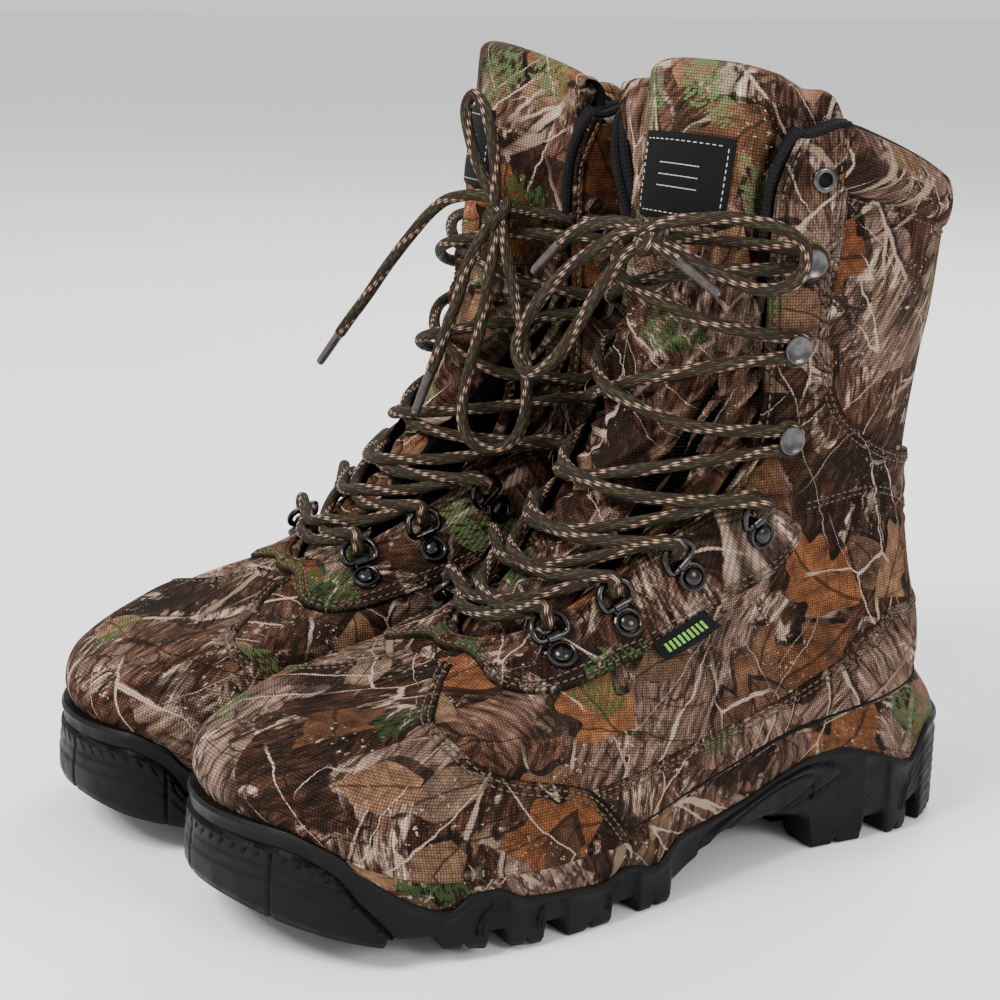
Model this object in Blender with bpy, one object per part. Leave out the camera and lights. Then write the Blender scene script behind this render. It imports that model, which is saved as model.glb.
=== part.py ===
"""A pair of insulated lace-up hunting boots, toes toward -Y, left boot at +X, standing on z = 0."""
import math

import bmesh
import bpy
import numpy as np
from mathutils import Matrix, Vector

MM = 0.001

# ---- driving dimensions (millimetres, in the frame of one left boot) ------------------------------
BOOT_SPACING = 111.7        # between the two boot centres, across
STAGGER = 9.0               # the right boot stands this far ahead of the left
PAIR_SHIFT = 13.05          # both boots, back along +Y, so that the pair's origin is its footprint's centre
SPLAY = math.radians(2.0)   # each toe turned out

PANEL = 1.4                 # laminated outer fabric
STIFFENER = 0.9             # toe puff and heel counter
STIFFENER_DEPTH = 3.4
LINER = 2.7                 # insulation with its lining
LINER_DEPTH = 6.3
EYESTAY = 0.8
EYESTAY_DEPTH = -2.4        # stands proud of the quarters
SEAM = 0.0016               # half of the gap between neighbouring panels, in turns round the boot
TONGUE = 4.6
TONGUE_DEPTH = 2.9
LACE_RADIUS = 1.7
WIRE_RADIUS = 0.9           # lace rings
RING_REACH = 9.0
CLIP_REACH = 6.6            # rivet centre to the ring's bar
THROAT = 4.95               # level at which the lacing gap begins
RIM = 9.0                   # level of the collar's top

# plan outline of the upper at the feather line, from the heel round the lateral side
FOOT = [(0, 128), (26, 120), (37, 96), (36, 45), (49, -32), (53, -90), (39, -138), (-2, -163),
        (-38, -150), (-51, -100), (-44, -30), (-36, 30), (-34, 92), (-25, 119)]
# plan outline of the outsole, matching station by station
SOLE = [(0, 143), (29, 133), (43, 102), (41, 45), (54, -32), (57, -90), (43, -142), (-2, -169),
        (-42, -155), (-55, -102), (-48, -30), (-40, 30), (-39, 98), (-28, 132)]
# cross-loops of the upper: front y, back y, front z, back z, half width, centre x, roundness
LEVELS = [
    (-157, 128, 45, 63, 50, 0, 0.0),
    (-160, 129, 54, 74, 51, 0, 0.0),
    (-156, 129, 65, 86, 50, -1, 0.05),
    (-140, 127, 73, 100, 47, -2, 0.15),
    (-105, 125, 80, 116, 43, -1, 0.35),
    (-69, 124, 95, 132, 39, 0, 0.6),
    (-37, 125, 121, 150, 38, 0, 0.85),
    (-12, 128, 163, 175, 39, 0, 1.0),
    (2, 132, 220, 205, 43, 0, 1.0),
    (8, 134, 290, 246, 45, 0, 1.0),
]
# side profiles along the boot: y, z
FEATHER = [(-170, 48), (-158, 47), (-147, 42), (-135, 37), (-119, 33), (-102, 31), (-62, 29.5),
           (-45, 29.5), (-27, 32), (-6, 37), (15, 41), (37, 45), (58, 49), (95, 55), (145, 63)]
SOLE_TOP = [(-170, 45), (-158, 44), (-148, 40), (-138, 34), (-129, 28), (-120, 22.5), (-109, 19),
            (-100, 24), (-92, 24), (-80, 19), (-60, 17), (-47, 16), (-36, 19), (-22, 16), (-8, 24.5),
            (3, 25.5), (25, 28.5), (46, 34), (61, 38), (73, 39), (89, 35), (109, 28.5), (121, 40),
            (145, 42)]
SOLE_BASE = [(-170, 22), (-157, 17), (-129, 12), (-110, 11), (-70, 9), (-40, 7.5), (-16, 8),
             (-3, 11), (13, 19), (36, 19), (55, 15), (67, 11), (90, 11), (109, 12), (121, 17),
             (145, 20)]
GROUND = [(-170, 20), (-157, 15), (-129, 8.5), (-112, 5.5), (-95, 3), (-73, 0.6), (-62, 0), (150, 0)]
# tread: front y, back y of each pair of cleats along the two edges
CLEATS = [(-151, -131), (-112, -95), (-87, -73), (-63, -43), (-30, -14), (61, 85), (97, 108)]
CENTRE_CLEATS = [(-120, -104), (-92, -78), (-66, -50), (-38, -22)]
# lacing gap: level, half width in turns
GAP = [(4.0, 0), (THROAT, 0), (5.05, 0.045), (5.15, 0.06), (5.62, 0.088), (6.03, 0.12),
       (6.35, 0.165), (6.9, 0.18), (7.6, 0.162), (8.2, 0.147), (8.6, 0.145), (9.1, 0.165)]
# seams on the lateral side as level, turns from the heel; the medial side mirrors them
TOE_SEAM = [(0, 0.288), (1.23, 0.308), (1.98, 0.358), (2.85, 0.39), (4.08, 0.445), (4.58, 0.468),
            (4.66, 0.5)]
SHAFT_SEAM = [(5.0, -0.01), (5.7, 0.0), (6.05, 0.108), (6.9, 0.223), (7.43, 0.265), (8.05, 0.283),
              (9.1, 0.283)]
FOXING_TOP = [(0.0, 2.45), (0.105, 2.45), (0.14, 2.5), (0.172, 1.75), (0.215, 1.15), (0.263, 1.2),
              (0.306, 1.25)]
FOXING_BACK = [(1.25, 0.262), (1.75, 0.178), (2.52, 0.142), (2.6, 0.0)]
EYESTAY_EDGE = [(0.5, 4.74), (0.46, 4.70), (0.40, 4.05), (0.36, 3.62), (0.335, 3.6), (0.305, 4.05),
                (0.275, 4.6), (0.242, 4.85), (0.233, 5.4), (0.245, 5.8), (0.28, 6.2), (0.3, 6.28)]
CLIPS = [(0.38, 4.5), (0.35, 4.9), (0.323, 5.48), (0.28, 5.85)]
RING_TIPS = [(0.43, 5.15), (0.403, 5.62), (0.372, 6.03), (0.315, 6.38)]
HOOKS = [(0.285, 6.88), (0.305, 7.62), (0.308, 8.2)]
EYELET = (0.308, 8.68)


# ---- curves and the boot's skin --------------------------------------------------------------------
def spline(points, s, cyclic=False):
    """Catmull-Rom curve through the points at parameters s in 0..1."""
    p = np.asarray(points, float)
    if cyclic:
        n = len(p)
        s = (np.asarray(s, float) % 1) * n
        i = np.floor(s).astype(int)
        a, b, c, d = (p[(i + k) % n] for k in (-1, 0, 1, 2))
    else:
        n = len(p) - 1
        p = np.vstack([2 * p[0] - p[1], p, 2 * p[-1] - p[-2]])
        s = np.clip(np.asarray(s, float), 0, 1) * n
        i = np.minimum(np.floor(s).astype(int), n - 1)
        a, b, c, d = (p[i + k] for k in range(4))
    f = (s - i)[..., None]
    return 0.5 * (2 * b + (c - a) * f + (2 * a - 5 * b + 4 * c - d) * f**2
                  + (3 * b - a - 3 * c + d) * f**3)


def along(table, x):
    """Value read off a table of (x, value) pairs."""
    xs, ys = zip(*table)
    return np.interp(x, xs, ys)


def outline(points, t, inset=0.0):
    """Plan curve moved inward by a distance."""
    t = np.asarray(t, float)
    p = spline(points, t, True)
    d = spline(points, t + 1e-3, True) - spline(points, t - 1e-3, True)
    d /= np.linalg.norm(d, axis=-1, keepdims=True)
    return p + inset * np.stack([d[..., 1], -d[..., 0]], -1)


def upper(t, v):
    """Point of the upper: t turns from the heel round the lateral side, v the level."""
    t, v = np.broadcast_arrays(np.asarray(t, float), np.asarray(v, float))
    level = spline(LEVELS, v / (len(LEVELS) - 1))
    front, back, zf, zb, half, xc, round_ = (level[..., k] for k in range(7))
    round_ = np.clip(round_, 0, 1)
    y0, y1 = LEVELS[0][:2]
    foot = spline(FOOT, t, True)
    fx, fy = foot[..., 0] / 49, (foot[..., 1] - (y0 + y1) / 2) / ((y1 - y0) / 2)
    ux = (1 - round_) * fx + round_ * np.sin(2 * np.pi * t)
    uy = (1 - round_) * fy + round_ * np.cos(2 * np.pi * t)
    y = (front + back) / 2 + (back - front) / 2 * uy
    z = zf + (zb - zf) * (uy + 1) / 2
    flat = LEVELS[0][2] + (LEVELS[0][3] - LEVELS[0][2]) * (uy + 1) / 2
    z = z + np.clip(1 - v / 3, 0, 1) * (along(FEATHER, y) - flat)
    return np.stack([xc + half * ux, y, z], -1)


def skin(t, v, depth=0.0):
    """Upper surface sunk by a depth along its own normal."""
    t, v = np.broadcast_arrays(np.asarray(t, float), np.asarray(v, float))
    du = upper(t + 1e-3, v) - upper(t - 1e-3, v)
    dv = upper(t, np.minimum(v + 0.02, RIM)) - upper(t, v - 0.02)
    inward = np.cross(du, dv)
    inward /= np.linalg.norm(inward, axis=-1, keepdims=True)
    return upper(t, v) + inward * np.asarray(depth)[..., None]


def frame_at(t, v, toward, depth=0.0):
    """Origin, direction toward a second skin point, direction across it, outward normal."""
    p, n = skin(t, v, depth), skin(t, v, -1.0) - skin(t, v, 0.0)
    n /= np.linalg.norm(n)
    d = skin(*toward) - skin(t, v)
    d -= n * (d @ n)
    d /= np.linalg.norm(d)
    return p, d, np.cross(n, d), n


def gap(v):
    return along(GAP, v)


# ---- mesh makers ----------------------------------------------------------------------------------
def add_object(name, mesh, material):
    obj = bpy.data.objects.new(name, mesh)
    COLLECTION.objects.link(obj)
    mesh.materials.clear()
    mesh.materials.append(material)
    return obj


def weld(mesh):
    """Merge coincident points and turn the faces outward."""
    bm = bmesh.new()
    bm.from_mesh(mesh)
    bmesh.ops.remove_doubles(bm, verts=bm.verts, dist=0.00005)
    bmesh.ops.recalc_face_normals(bm, faces=bm.faces)
    if bm.calc_volume(signed=True) < 0:
        bmesh.ops.reverse_faces(bm, faces=bm.faces)
    bm.to_mesh(mesh)
    bm.free()
    return mesh


def mesh_of(name, verts, faces):
    mesh = bpy.data.meshes.new(name)
    mesh.from_pydata([tuple(np.asarray(v) * MM) for v in verts], [], faces)
    return weld(mesh)


def two_faced(name, outer, inner, material):
    """Panel between two matching grids of points."""
    nu, nv = outer.shape[:2]
    count = nu * nv
    faces = []
    for i in range(nu - 1):
        for j in range(nv - 1):
            quad = (i * nv + j, i * nv + j + 1, (i + 1) * nv + j + 1, (i + 1) * nv + j)
            faces += [quad, tuple(count + q for q in quad[::-1])]
    rim = [i * nv for i in range(nu)] + [(nu - 1) * nv + j for j in range(1, nv)]
    rim += [i * nv + nv - 1 for i in range(nu - 2, -1, -1)] + list(range(nv - 2, 0, -1))
    faces += [(a, b, b + count, a + count) for a, b in zip(rim, rim[1:] + rim[:1])]
    verts = [*outer.reshape(-1, 3), *inner.reshape(-1, 3)]
    return add_object(name, mesh_of(name, verts, faces), material)


def shell(name, place, depth, thickness, material):
    """Panel over a grid of (turns, level) places, its two faces both offset from the skin."""
    t, v = np.broadcast_arrays(*place)
    return two_faced(name, skin(t, v, depth), skin(t, v, depth + thickness), material)


def rings_mesh(name, rings):
    """Closed body lofted through a stack of closed rings, capped at both ends."""
    n, m = len(rings[0]), len(rings)
    verts = [p for ring in rings for p in ring]
    faces = []
    for k in range(m - 1):
        for i in range(n):
            a, b = k * n + i, k * n + (i + 1) % n
            c, d = b + n, a + n
            if np.linalg.norm(verts[a] - verts[c]) < np.linalg.norm(verts[b] - verts[d]):
                faces += [(a, b, c), (a, c, d)]
            else:
                faces += [(a, b, d), (b, c, d)]
    faces.append(tuple(range(n))[::-1])
    faces.append(tuple((m - 1) * n + i for i in range(n)))
    return mesh_of(name, verts, faces)


def wire(name, points, radius, cyclic=False, resolution=1):
    """Round wire through the points, as a mesh."""
    curve = bpy.data.curves.new(name, "CURVE")
    curve.dimensions = "3D"
    curve.bevel_depth = radius * MM
    curve.bevel_resolution = resolution
    curve.use_fill_caps = True
    line = curve.splines.new("POLY")
    line.points.add(len(points) - 1)
    for point, target in zip(line.points, points):
        point.co = (*(np.asarray(target) * MM), 1.0)
    line.use_cyclic_u = cyclic
    holder = bpy.data.objects.new(name + "_curve", curve)
    COLLECTION.objects.link(holder)
    mesh = bpy.data.meshes.new_from_object(holder.evaluated_get(bpy.context.evaluated_depsgraph_get()))
    bpy.data.objects.remove(holder)
    return weld(mesh)


def solid_disc(radius, height, origin, axis, segments=12, top=None):
    bm = bmesh.new()
    bmesh.ops.create_cone(bm, cap_ends=True, segments=segments, radius1=radius * MM,
                          radius2=(radius if top is None else top) * MM, depth=height * MM)
    turn = Vector((0, 0, 1)).rotation_difference(Vector(axis)).to_matrix().to_4x4()
    centre = Vector(np.asarray(origin) * MM) + Vector(axis).normalized() * (height * MM / 2)
    bmesh.ops.transform(bm, matrix=Matrix.Translation(centre) @ turn, verts=bm.verts)
    mesh = bpy.data.meshes.new("disc")
    bm.to_mesh(mesh)
    bm.free()
    return mesh


def prism(profile, width, origin, d, across, n):
    """Profile drawn in the (d, n) plane, extruded by a width along 'across'."""
    p = [origin + a * d + b * n for a, b in profile]
    low = [q - across * width / 2 for q in p]
    high = [q + across * width / 2 for q in p]
    k = len(p)
    faces = [(i, (i + 1) % k, k + (i + 1) % k, k + i) for i in range(k)]
    faces += [tuple(range(k))[::-1], tuple(range(k, 2 * k))]
    return mesh_of("prism", low + high, faces)


def fuse(name, meshes, material):
    """Union of closed meshes as one object."""
    base = add_object(name, meshes[0], material)
    for mesh in meshes[1:]:
        tool = bpy.data.objects.new("tool", mesh)
        COLLECTION.objects.link(tool)
        union = base.modifiers.new("Union", "BOOLEAN")
        union.operation = "UNION"
        union.solver = "EXACT"
        union.use_self = True
        union.object = tool
        result = bpy.data.meshes.new_from_object(
            base.evaluated_get(bpy.context.evaluated_depsgraph_get()))
        base.modifiers.clear()
        base.data = result
        bpy.data.objects.remove(tool)
    base.data.materials.clear()
    base.data.materials.append(material)
    return base


def material(name, colour, roughness, metallic=0.0):
    mat = bpy.data.materials.new(name)
    mat.use_nodes = True
    shader = mat.node_tree.nodes["Principled BSDF"]
    shader.inputs["Base Color"].default_value = (*colour, 1.0)
    shader.inputs["Roughness"].default_value = roughness
    shader.inputs["Metallic"].default_value = metallic
    return mat


# ---- sole -------------------------------------------------------------------------------------------
TURNS = np.linspace(0, 1, 36, endpoint=False)


def ring(points, inset, height, scale=1.0):
    """Closed plan ring at heights given by a function of y."""
    p = outline(points, TURNS, inset)
    centre = np.array([0.0, -12.0])
    p = centre + (p - centre) * scale
    return np.column_stack([p, height(p[:, 1])])


def sole_top(y):
    return np.minimum(along(SOLE_TOP, y), along(FEATHER, y) - 2.2)


def cleat(y0, y1, x0, x1, top):
    """Tapered tread block between two edges given as functions of y."""
    low, high = [], []
    for y, x in ((y0, x0(y0)), (y1, x0(y1)), (y1, x1(y1)), (y0, x1(y0))):
        middle = np.array([(x0(y) + x1(y)) / 2, (y0 + y1) / 2])
        p = np.array([x, y])
        inner = p + (middle - p) * 0.12
        low.append((*inner, along(GROUND, y)))
        high.append((*p, top(y) + 0.8))
    faces = [(3, 2, 1, 0), (4, 5, 6, 7)] + [(i, (i + 1) % 4, 4 + (i + 1) % 4, 4 + i) for i in range(4)]
    return mesh_of("cleat", low + high, faces)


def make_outsole():
    def base(y):
        return along(SOLE_BASE, y)

    def floor(y):
        return np.minimum(base(y) + 2.4, sole_top(y) - 1.5)

    slab = rings_mesh("outsole", [
        ring(SOLE, 3.0, base, 0.04), ring(SOLE, 3.0, base, 0.55), ring(SOLE, 3.0, base),
        ring(SOLE, 0.0, lambda y: base(y) + 3.0), ring(SOLE, 0.3, sole_top),
        ring(SOLE, 3.4, sole_top), ring(SOLE, 4.2, floor), ring(SOLE, 4.2, floor, 0.55),
        ring(SOLE, 4.2, floor, 0.04)])
    dense = outline(SOLE, np.linspace(0, 1, 800), 3.4)
    half = len(dense) // 2
    sides = [dense[:half][np.argsort(dense[:half, 1])], dense[half:][np.argsort(dense[half:, 1])]]
    blocks = []
    for sign, side in zip((1, -1), sides):
        def edge(y, side=side):
            return np.interp(y, side[:, 1], side[:, 0])

        for y0, y1 in CLEATS:
            blocks.append(cleat(y0, y1, edge, lambda y, s=sign, e=edge: e(y) - s * 17.0, base))
    for y0, y1 in CENTRE_CLEATS:
        blocks.append(cleat(y0, y1, lambda y: -13.0, lambda y: 14.0, base))
    blocks.append(cleat(118, 137, lambda y: -18.0, lambda y: 19.0, base))
    return fuse("outsole", [slab] + blocks, RUBBER)


def board_floor(y):
    return along(FEATHER, y) - 7.6


def make_sole_parts():
    rim = 9.0

    def low(y):
        return np.minimum(along(SOLE_BASE, y) + 3.9, sole_top(y) - 0.1)

    def ledge(y):
        return sole_top(y) + 0.5

    midsole = rings_mesh("midsole", [
        ring(SOLE, 4.7, low, 0.04), ring(SOLE, 4.7, low, 0.55), ring(SOLE, 4.7, low),
        ring(SOLE, 4.2, ledge), ring(SOLE, 0.8, ledge),
        ring(FOOT, -2.6, lambda y: along(FEATHER, y) - 0.5),
        ring(FOOT, rim, lambda y: along(FEATHER, y) - 0.5), ring(FOOT, rim, board_floor),
        ring(FOOT, rim, board_floor, 0.62), ring(FOOT, rim, board_floor, 0.3),
        ring(FOOT, rim, board_floor, 0.04)])
    add_object("midsole", midsole, CAMO_SOLE)

    def slab(name, inset, z0, z1, edge_lift, mat):
        def bottom(y):
            return along(FEATHER, y) + z0

        def top(y):
            return along(FEATHER, y) + z1

        rows = [ring(FOOT, inset, bottom, k) for k in (0.04, 0.55, 1.0)]
        rows += [ring(FOOT, inset, lambda y: top(y) + edge_lift)]
        rows += [ring(FOOT, inset, top, k) for k in (0.9, 0.55, 0.04)] if edge_lift else [
            ring(FOOT, inset, top, k) for k in (0.55, 0.04)]
        return add_object(name, rings_mesh(name, rows), mat)

    slab("insole_board", rim + 0.5, -4.2, -2.2, 0.0, BOARD)
    slab("footbed", rim + 1.2, -1.4, 2.6, 1.6, FOAM)
    y = np.linspace(-24, 74, 8)
    low_line, high_line = board_floor(y) + 1.3, board_floor(y) + 2.5
    profile = list(zip(y, low_line)) + list(zip(y[::-1], high_line[::-1]))
    strip = prism(profile, 16.0, np.zeros(3), np.array([0, 1.0, 0]), np.array([1.0, 0, 0]),
                  np.array([0, 0, 1.0]))
    add_object("shank_plate", strip, STEEL)


# ---- upper ------------------------------------------------------------------------------------------
def mirrored(t, side):
    return t if side > 0 else 1.0 - t


def patch(low, high, nu, nv):
    """Grid of places between two lists of (turns, level) points."""
    along_row = np.linspace(0, 1, nu)
    a, b = spline(low, along_row), spline(high, along_row)
    w = np.linspace(0, 1, nv)[None, :, None]
    place = a[:, None] * (1 - w) + b[:, None] * w
    return place[..., 0], place[..., 1]


def make_upper():
    v = np.array([0.03, 0.65, 1.25, 1.9, 2.55, 3.2, 3.9, 4.55])[None, :]
    half = 0.5 - along(TOE_SEAM, v) - SEAM
    shell("vamp", (0.5 + np.linspace(-1, 1, 17)[:, None] * half, v), 0.0, PANEL, CAMO)

    turns = np.linspace(-0.303, 0.303, 21)
    top = along([(-t, v) for t, v in FOXING_TOP[::-1]] + FOXING_TOP[1:], turns)
    rows = np.linspace(0, 1, 4)[None, :]
    v = 0.03 * (1 - rows) + (top[:, None] - 0.08) * rows
    front = np.minimum(along(TOE_SEAM, v) - SEAM, 0.303)
    shell("heel_foxing", (turns[:, None] / 0.303 * front, v), 0.0, PANEL, CAMO)

    v = np.array([1.33, 1.9, 2.55, 3.2, 3.9, 4.55, 4.7, 4.97, 5.15, 5.45, 5.72, 6.05, 6.5, 7.1, 7.8,
                  8.5, 8.97])
    back = np.where(v < 2.56, along(FOXING_BACK, v), 0.0)
    back = np.where(v > 5.7, along(SHAFT_SEAM, v), back)
    front = np.where(v < 4.6, along(TOE_SEAM, v), 0.5 - gap(v))
    w = np.linspace(0, 1, 9)[:, None] ** 1.5
    t = (back + SEAM) * (1 - w) + (front - SEAM) * w
    for side, name in ((1, "lateral"), (-1, "medial")):
        shell("quarter_" + name, (mirrored(t, side), v[None, :]), 0.0, PANEL, CAMO)

    turns = np.linspace(-0.277, 0.277, 13)[:, None]
    low = along([(t, v) for v, t in SHAFT_SEAM[1:6]], np.abs(turns)) + 0.08
    rows = np.linspace(0, 1, 6)[None, :]
    shell("shaft", (turns, low * (1 - rows) + 8.62 * rows), 0.0, PANEL, CAMO)
    puff = np.array([0.0, -1.6, -1.6, 0.0])[None, :]
    shell("collar", (turns, np.array([8.66, 8.74, 8.9, 9.0])[None, :]), puff, 3.8, CAMO)

    shell("toe_puff", patch([(0.39, 0.3), (0.5, 0.3), (0.61, 0.3)],
                            [(0.43, 2.7), (0.5, 2.9), (0.57, 2.7)], 11, 4),
          STIFFENER_DEPTH, STIFFENER, BOARD)
    shell("heel_counter", patch([(-0.19, 0.2), (0, 0.2), (0.19, 0.2)],
                                [(-0.13, 2.2), (0, 2.3), (0.13, 2.2)], 11, 4),
          STIFFENER_DEPTH, STIFFENER, BOARD)

    v = np.array([0.15, 1.3, 2.5, 3.7, 4.9, 5.15, 5.7, 6.3, 7.3, 8.95])[None, :]
    reach = 0.5 - np.maximum(gap(v), SEAM)
    shell("liner", (np.linspace(-1, 1, 21)[:, None] * reach, v), LINER_DEPTH, LINER, FLEECE)

    lower = EYESTAY_EDGE[::-1] + [(1 - t, v) for t, v in EYESTAY_EDGE[1:]]
    inner = [(0.494 - gap(v), v) for v in (6.28, 6.15, 5.9, 5.65, 5.4, 5.18)] + [(0.46, 4.98), (0.5, 4.93)]
    inner = inner + [(1 - t, v) for t, v in inner[-2::-1]]
    shell("eyestay", patch(lower, inner, 29, 4), EYESTAY_DEPTH, EYESTAY, CAMO)


def tongue_depth(t, v):
    """The tongue lies just under the lacing gap and dives below the flaps' lining at its edges."""
    past = np.abs(t - 0.5) - (gap(v) - 0.045)
    tuck = np.clip(past / 0.03, 0, 1)
    return TONGUE_DEPTH + (10.4 - TONGUE_DEPTH) * tuck * tuck * (3 - 2 * tuck)


def make_tongue():
    v = np.array([5.12, 5.45, 5.9, 6.4, 7.0, 7.6, 8.2, 8.7, 9.0])[None, :]
    across = np.linspace(-1, 1, 11)[:, None]
    t = 0.5 + across * (gap(v) + 0.008)
    depth = tongue_depth(t, v)
    faces = []
    for sunk in (depth, depth + TONGUE):
        grid = skin(t, v, sunk)
        dome = grid[:, -1] + np.column_stack([0 * across, 3 + 0 * across, 6 * (1 - across ** 2)])
        faces.append(np.concatenate([grid, dome[:, None]], 1))
    two_faced("tongue", *faces, CAMO)
    shell("tongue_label", patch([(0.455, 8.3), (0.56, 8.3)], [(0.455, 8.72), (0.56, 8.72)], 6, 3),
          TONGUE_DEPTH - 1.8, 0.8, LABEL)


# ---- lacing hardware ----------------------------------------------------------------------------------
STRIP_DEPTH = EYESTAY_DEPTH - 0.5
FLAP_STRIP = -0.5           # strip above the eyestay, on the bare flap
STRIP = 0.8
CURL_IN, CURL_OUT = WIRE_RADIUS + 0.35, WIRE_RADIUS + 1.1
LIFT = math.radians(20)


def clip_frame(k, side):
    """Hinge centre of ring k, its reach direction, hinge axis, outward normal, rivet centre."""
    t, v = CLIPS[k]
    tip = RING_TIPS[k]
    rivet, d, e, n = frame_at(mirrored(t, side), v, (mirrored(tip[0], side), tip[1]), STRIP_DEPTH - STRIP)
    hinge = rivet + d * CLIP_REACH + n * (CURL_OUT + 0.1)
    return hinge, d, e, n, rivet


def hook_frame(k, side):
    t, v = HOOKS[k]
    return frame_at(mirrored(t, side), v, (mirrored(t + 0.05, side), v + 0.02), FLAP_STRIP - STRIP)


def make_hardware(side, name):
    track = CLIPS + [(0.281, 6.3), (0.283, 6.5)] + HOOKS + [EYELET]
    path = spline(track, np.linspace(0, 1, 2 * len(track) - 1))
    t, v = mirrored(path[:, 0], side), path[:, 1]
    depth = np.interp(v, [6.32, 6.5], [STRIP_DEPTH, FLAP_STRIP])
    p = skin(t, v, depth)
    n = skin(t, v, -1.0) - skin(t, v, 0.0)
    run = np.gradient(p, axis=0)
    run /= np.linalg.norm(run, axis=1, keepdims=True)
    across = np.cross(n, run)
    half = 2.4
    rings = [np.array([p[i] - across[i] * half, p[i] + across[i] * half,
                       p[i] + across[i] * half + n[i] * STRIP, p[i] - across[i] * half + n[i] * STRIP])
             for i in range(len(p))]
    parts = [rings_mesh("strip", rings)]
    angles = np.radians(np.linspace(-90, 150, 5))
    for k in range(len(CLIPS)):
        hinge, d, e, n, rivet = clip_frame(k, side)
        height = CURL_OUT + 0.1
        outer = [(CLIP_REACH + CURL_OUT * math.cos(a), height + CURL_OUT * math.sin(a)) for a in angles]
        inner = [(CLIP_REACH + CURL_IN * math.cos(a), height + CURL_IN * math.sin(a)) for a in angles]
        profile = [(0.0, -0.4), (2.0, -0.4), (3.2, 0.1)] + outer + inner[::-1] + [(0.0, height - CURL_IN)]
        parts.append(prism(profile, 4.0, rivet, d, e, n))
        parts.append(solid_disc(3.8, 1.0, rivet - n * 0.35, n, 10))
        parts.append(solid_disc(2.9, 1.9, rivet + n * 0.2, n, 8, 1.5))
    for k in range(len(HOOKS)):
        p, d, e, n = hook_frame(k, side)
        parts.append(solid_disc(1.7, 6.4, p - n * 0.3, n, 6))
        parts.append(solid_disc(5.2, 1.0, p + n * 5.6, n, 10))
    p, d, e, n = frame_at(mirrored(EYELET[0], side), EYELET[1],
                          (mirrored(EYELET[0] + 0.05, side), EYELET[1]), FLAP_STRIP - STRIP)
    parts.append(solid_disc(4.6, 0.9, p - n * 0.35, n, 12))
    return fuse("lace_hardware_" + name, parts, GUNMETAL)


def make_ring(k, side, name):
    hinge, d, e, n, _ = clip_frame(k, side)
    reach = d * math.cos(LIFT) + n * math.sin(LIFT)
    plan = [(-4.6, 0), (4.6, 0), (6.0, 1.6), (6.0, 4.2), (4.4, 7.6), (1.6, RING_REACH), (-1.6, RING_REACH),
            (-4.4, 7.6), (-6.0, 4.2), (-6.0, 1.6)]
    mesh = wire("ring", [e * a + reach * b for a, b in plan], WIRE_RADIUS, cyclic=True)
    obj = add_object("ring_%s_%d" % (name, k + 1), mesh, GUNMETAL)
    obj.location = Vector(hinge * MM)
    return obj


# ---- laces ----------------------------------------------------------------------------------------------
def ring_turn(k, side):
    """Lace points round the far wire of ring k: under it, through it, over it."""
    hinge, d, e, n, _ = clip_frame(k, side)
    reach = d * math.cos(LIFT) + n * math.sin(LIFT)
    up = n * math.cos(LIFT) - d * math.sin(LIFT)
    return [hinge + reach * a + up * b for a, b in ((9.8, -3.9), (5.0, -2.6), (5.0, 2.6), (9.8, 3.9))]


def hook_turn(k, side):
    """Lace points round the neck of hook k, from below it to above it."""
    p, c, w, n = hook_frame(k, side)
    w = w if w[2] > 0 else -w
    r = 1.7 + LACE_RADIUS + 0.45
    h = n * (LACE_RADIUS + 0.6)
    plan = ((0.9, -0.8), (-0.35, -1.1), (-1.12, 0.0), (-0.35, 1.1), (0.9, 0.8))
    return [p + h + r * (a * c + b * w) for a, b in plan]


def row_place(k, side):
    """Turns and level of lacing row k on one side."""
    t, v = (RING_TIPS + HOOKS)[k]
    return np.array([mirrored(t, side), v])


def crossing(k, side, heights):
    """Lace points over the lacing gap, from row k on one side to the next row on the other."""
    a, b = row_place(k, side), row_place(k + 1, -side)
    return [skin(*(a * (1 - f) + b * f), -h) for f, h in zip((0.22, 0.5, 0.78), heights)]


def strand(start):
    """Lace points from the first ring on one side, criss-crossing up to the top hook."""
    side, points = start, []
    for k in range(len(RING_TIPS + HOOKS) - 1):
        points += crossing(k, side, (11.5, 9.4, 6.2) if side > 0 else (11.5, 4.0, 5.4))
        side = -side
        points += ring_turn(k + 1, side) if k + 1 < len(CLIPS) else hook_turn(k + 1 - len(CLIPS), side)
    return points


def make_lace():
    left, right = row_place(0, 1), row_place(0, -1)
    bar = [skin(*(right * (1 - f) + left * f), -5.5) for f in (0.3, 0.7)]
    path = (strand(-1)[::-1] + ring_turn(0, -1)[::-1] + bar + ring_turn(0, 1) + strand(1))
    return add_object("lace", wire("lace", path, LACE_RADIUS), LACE)


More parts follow.
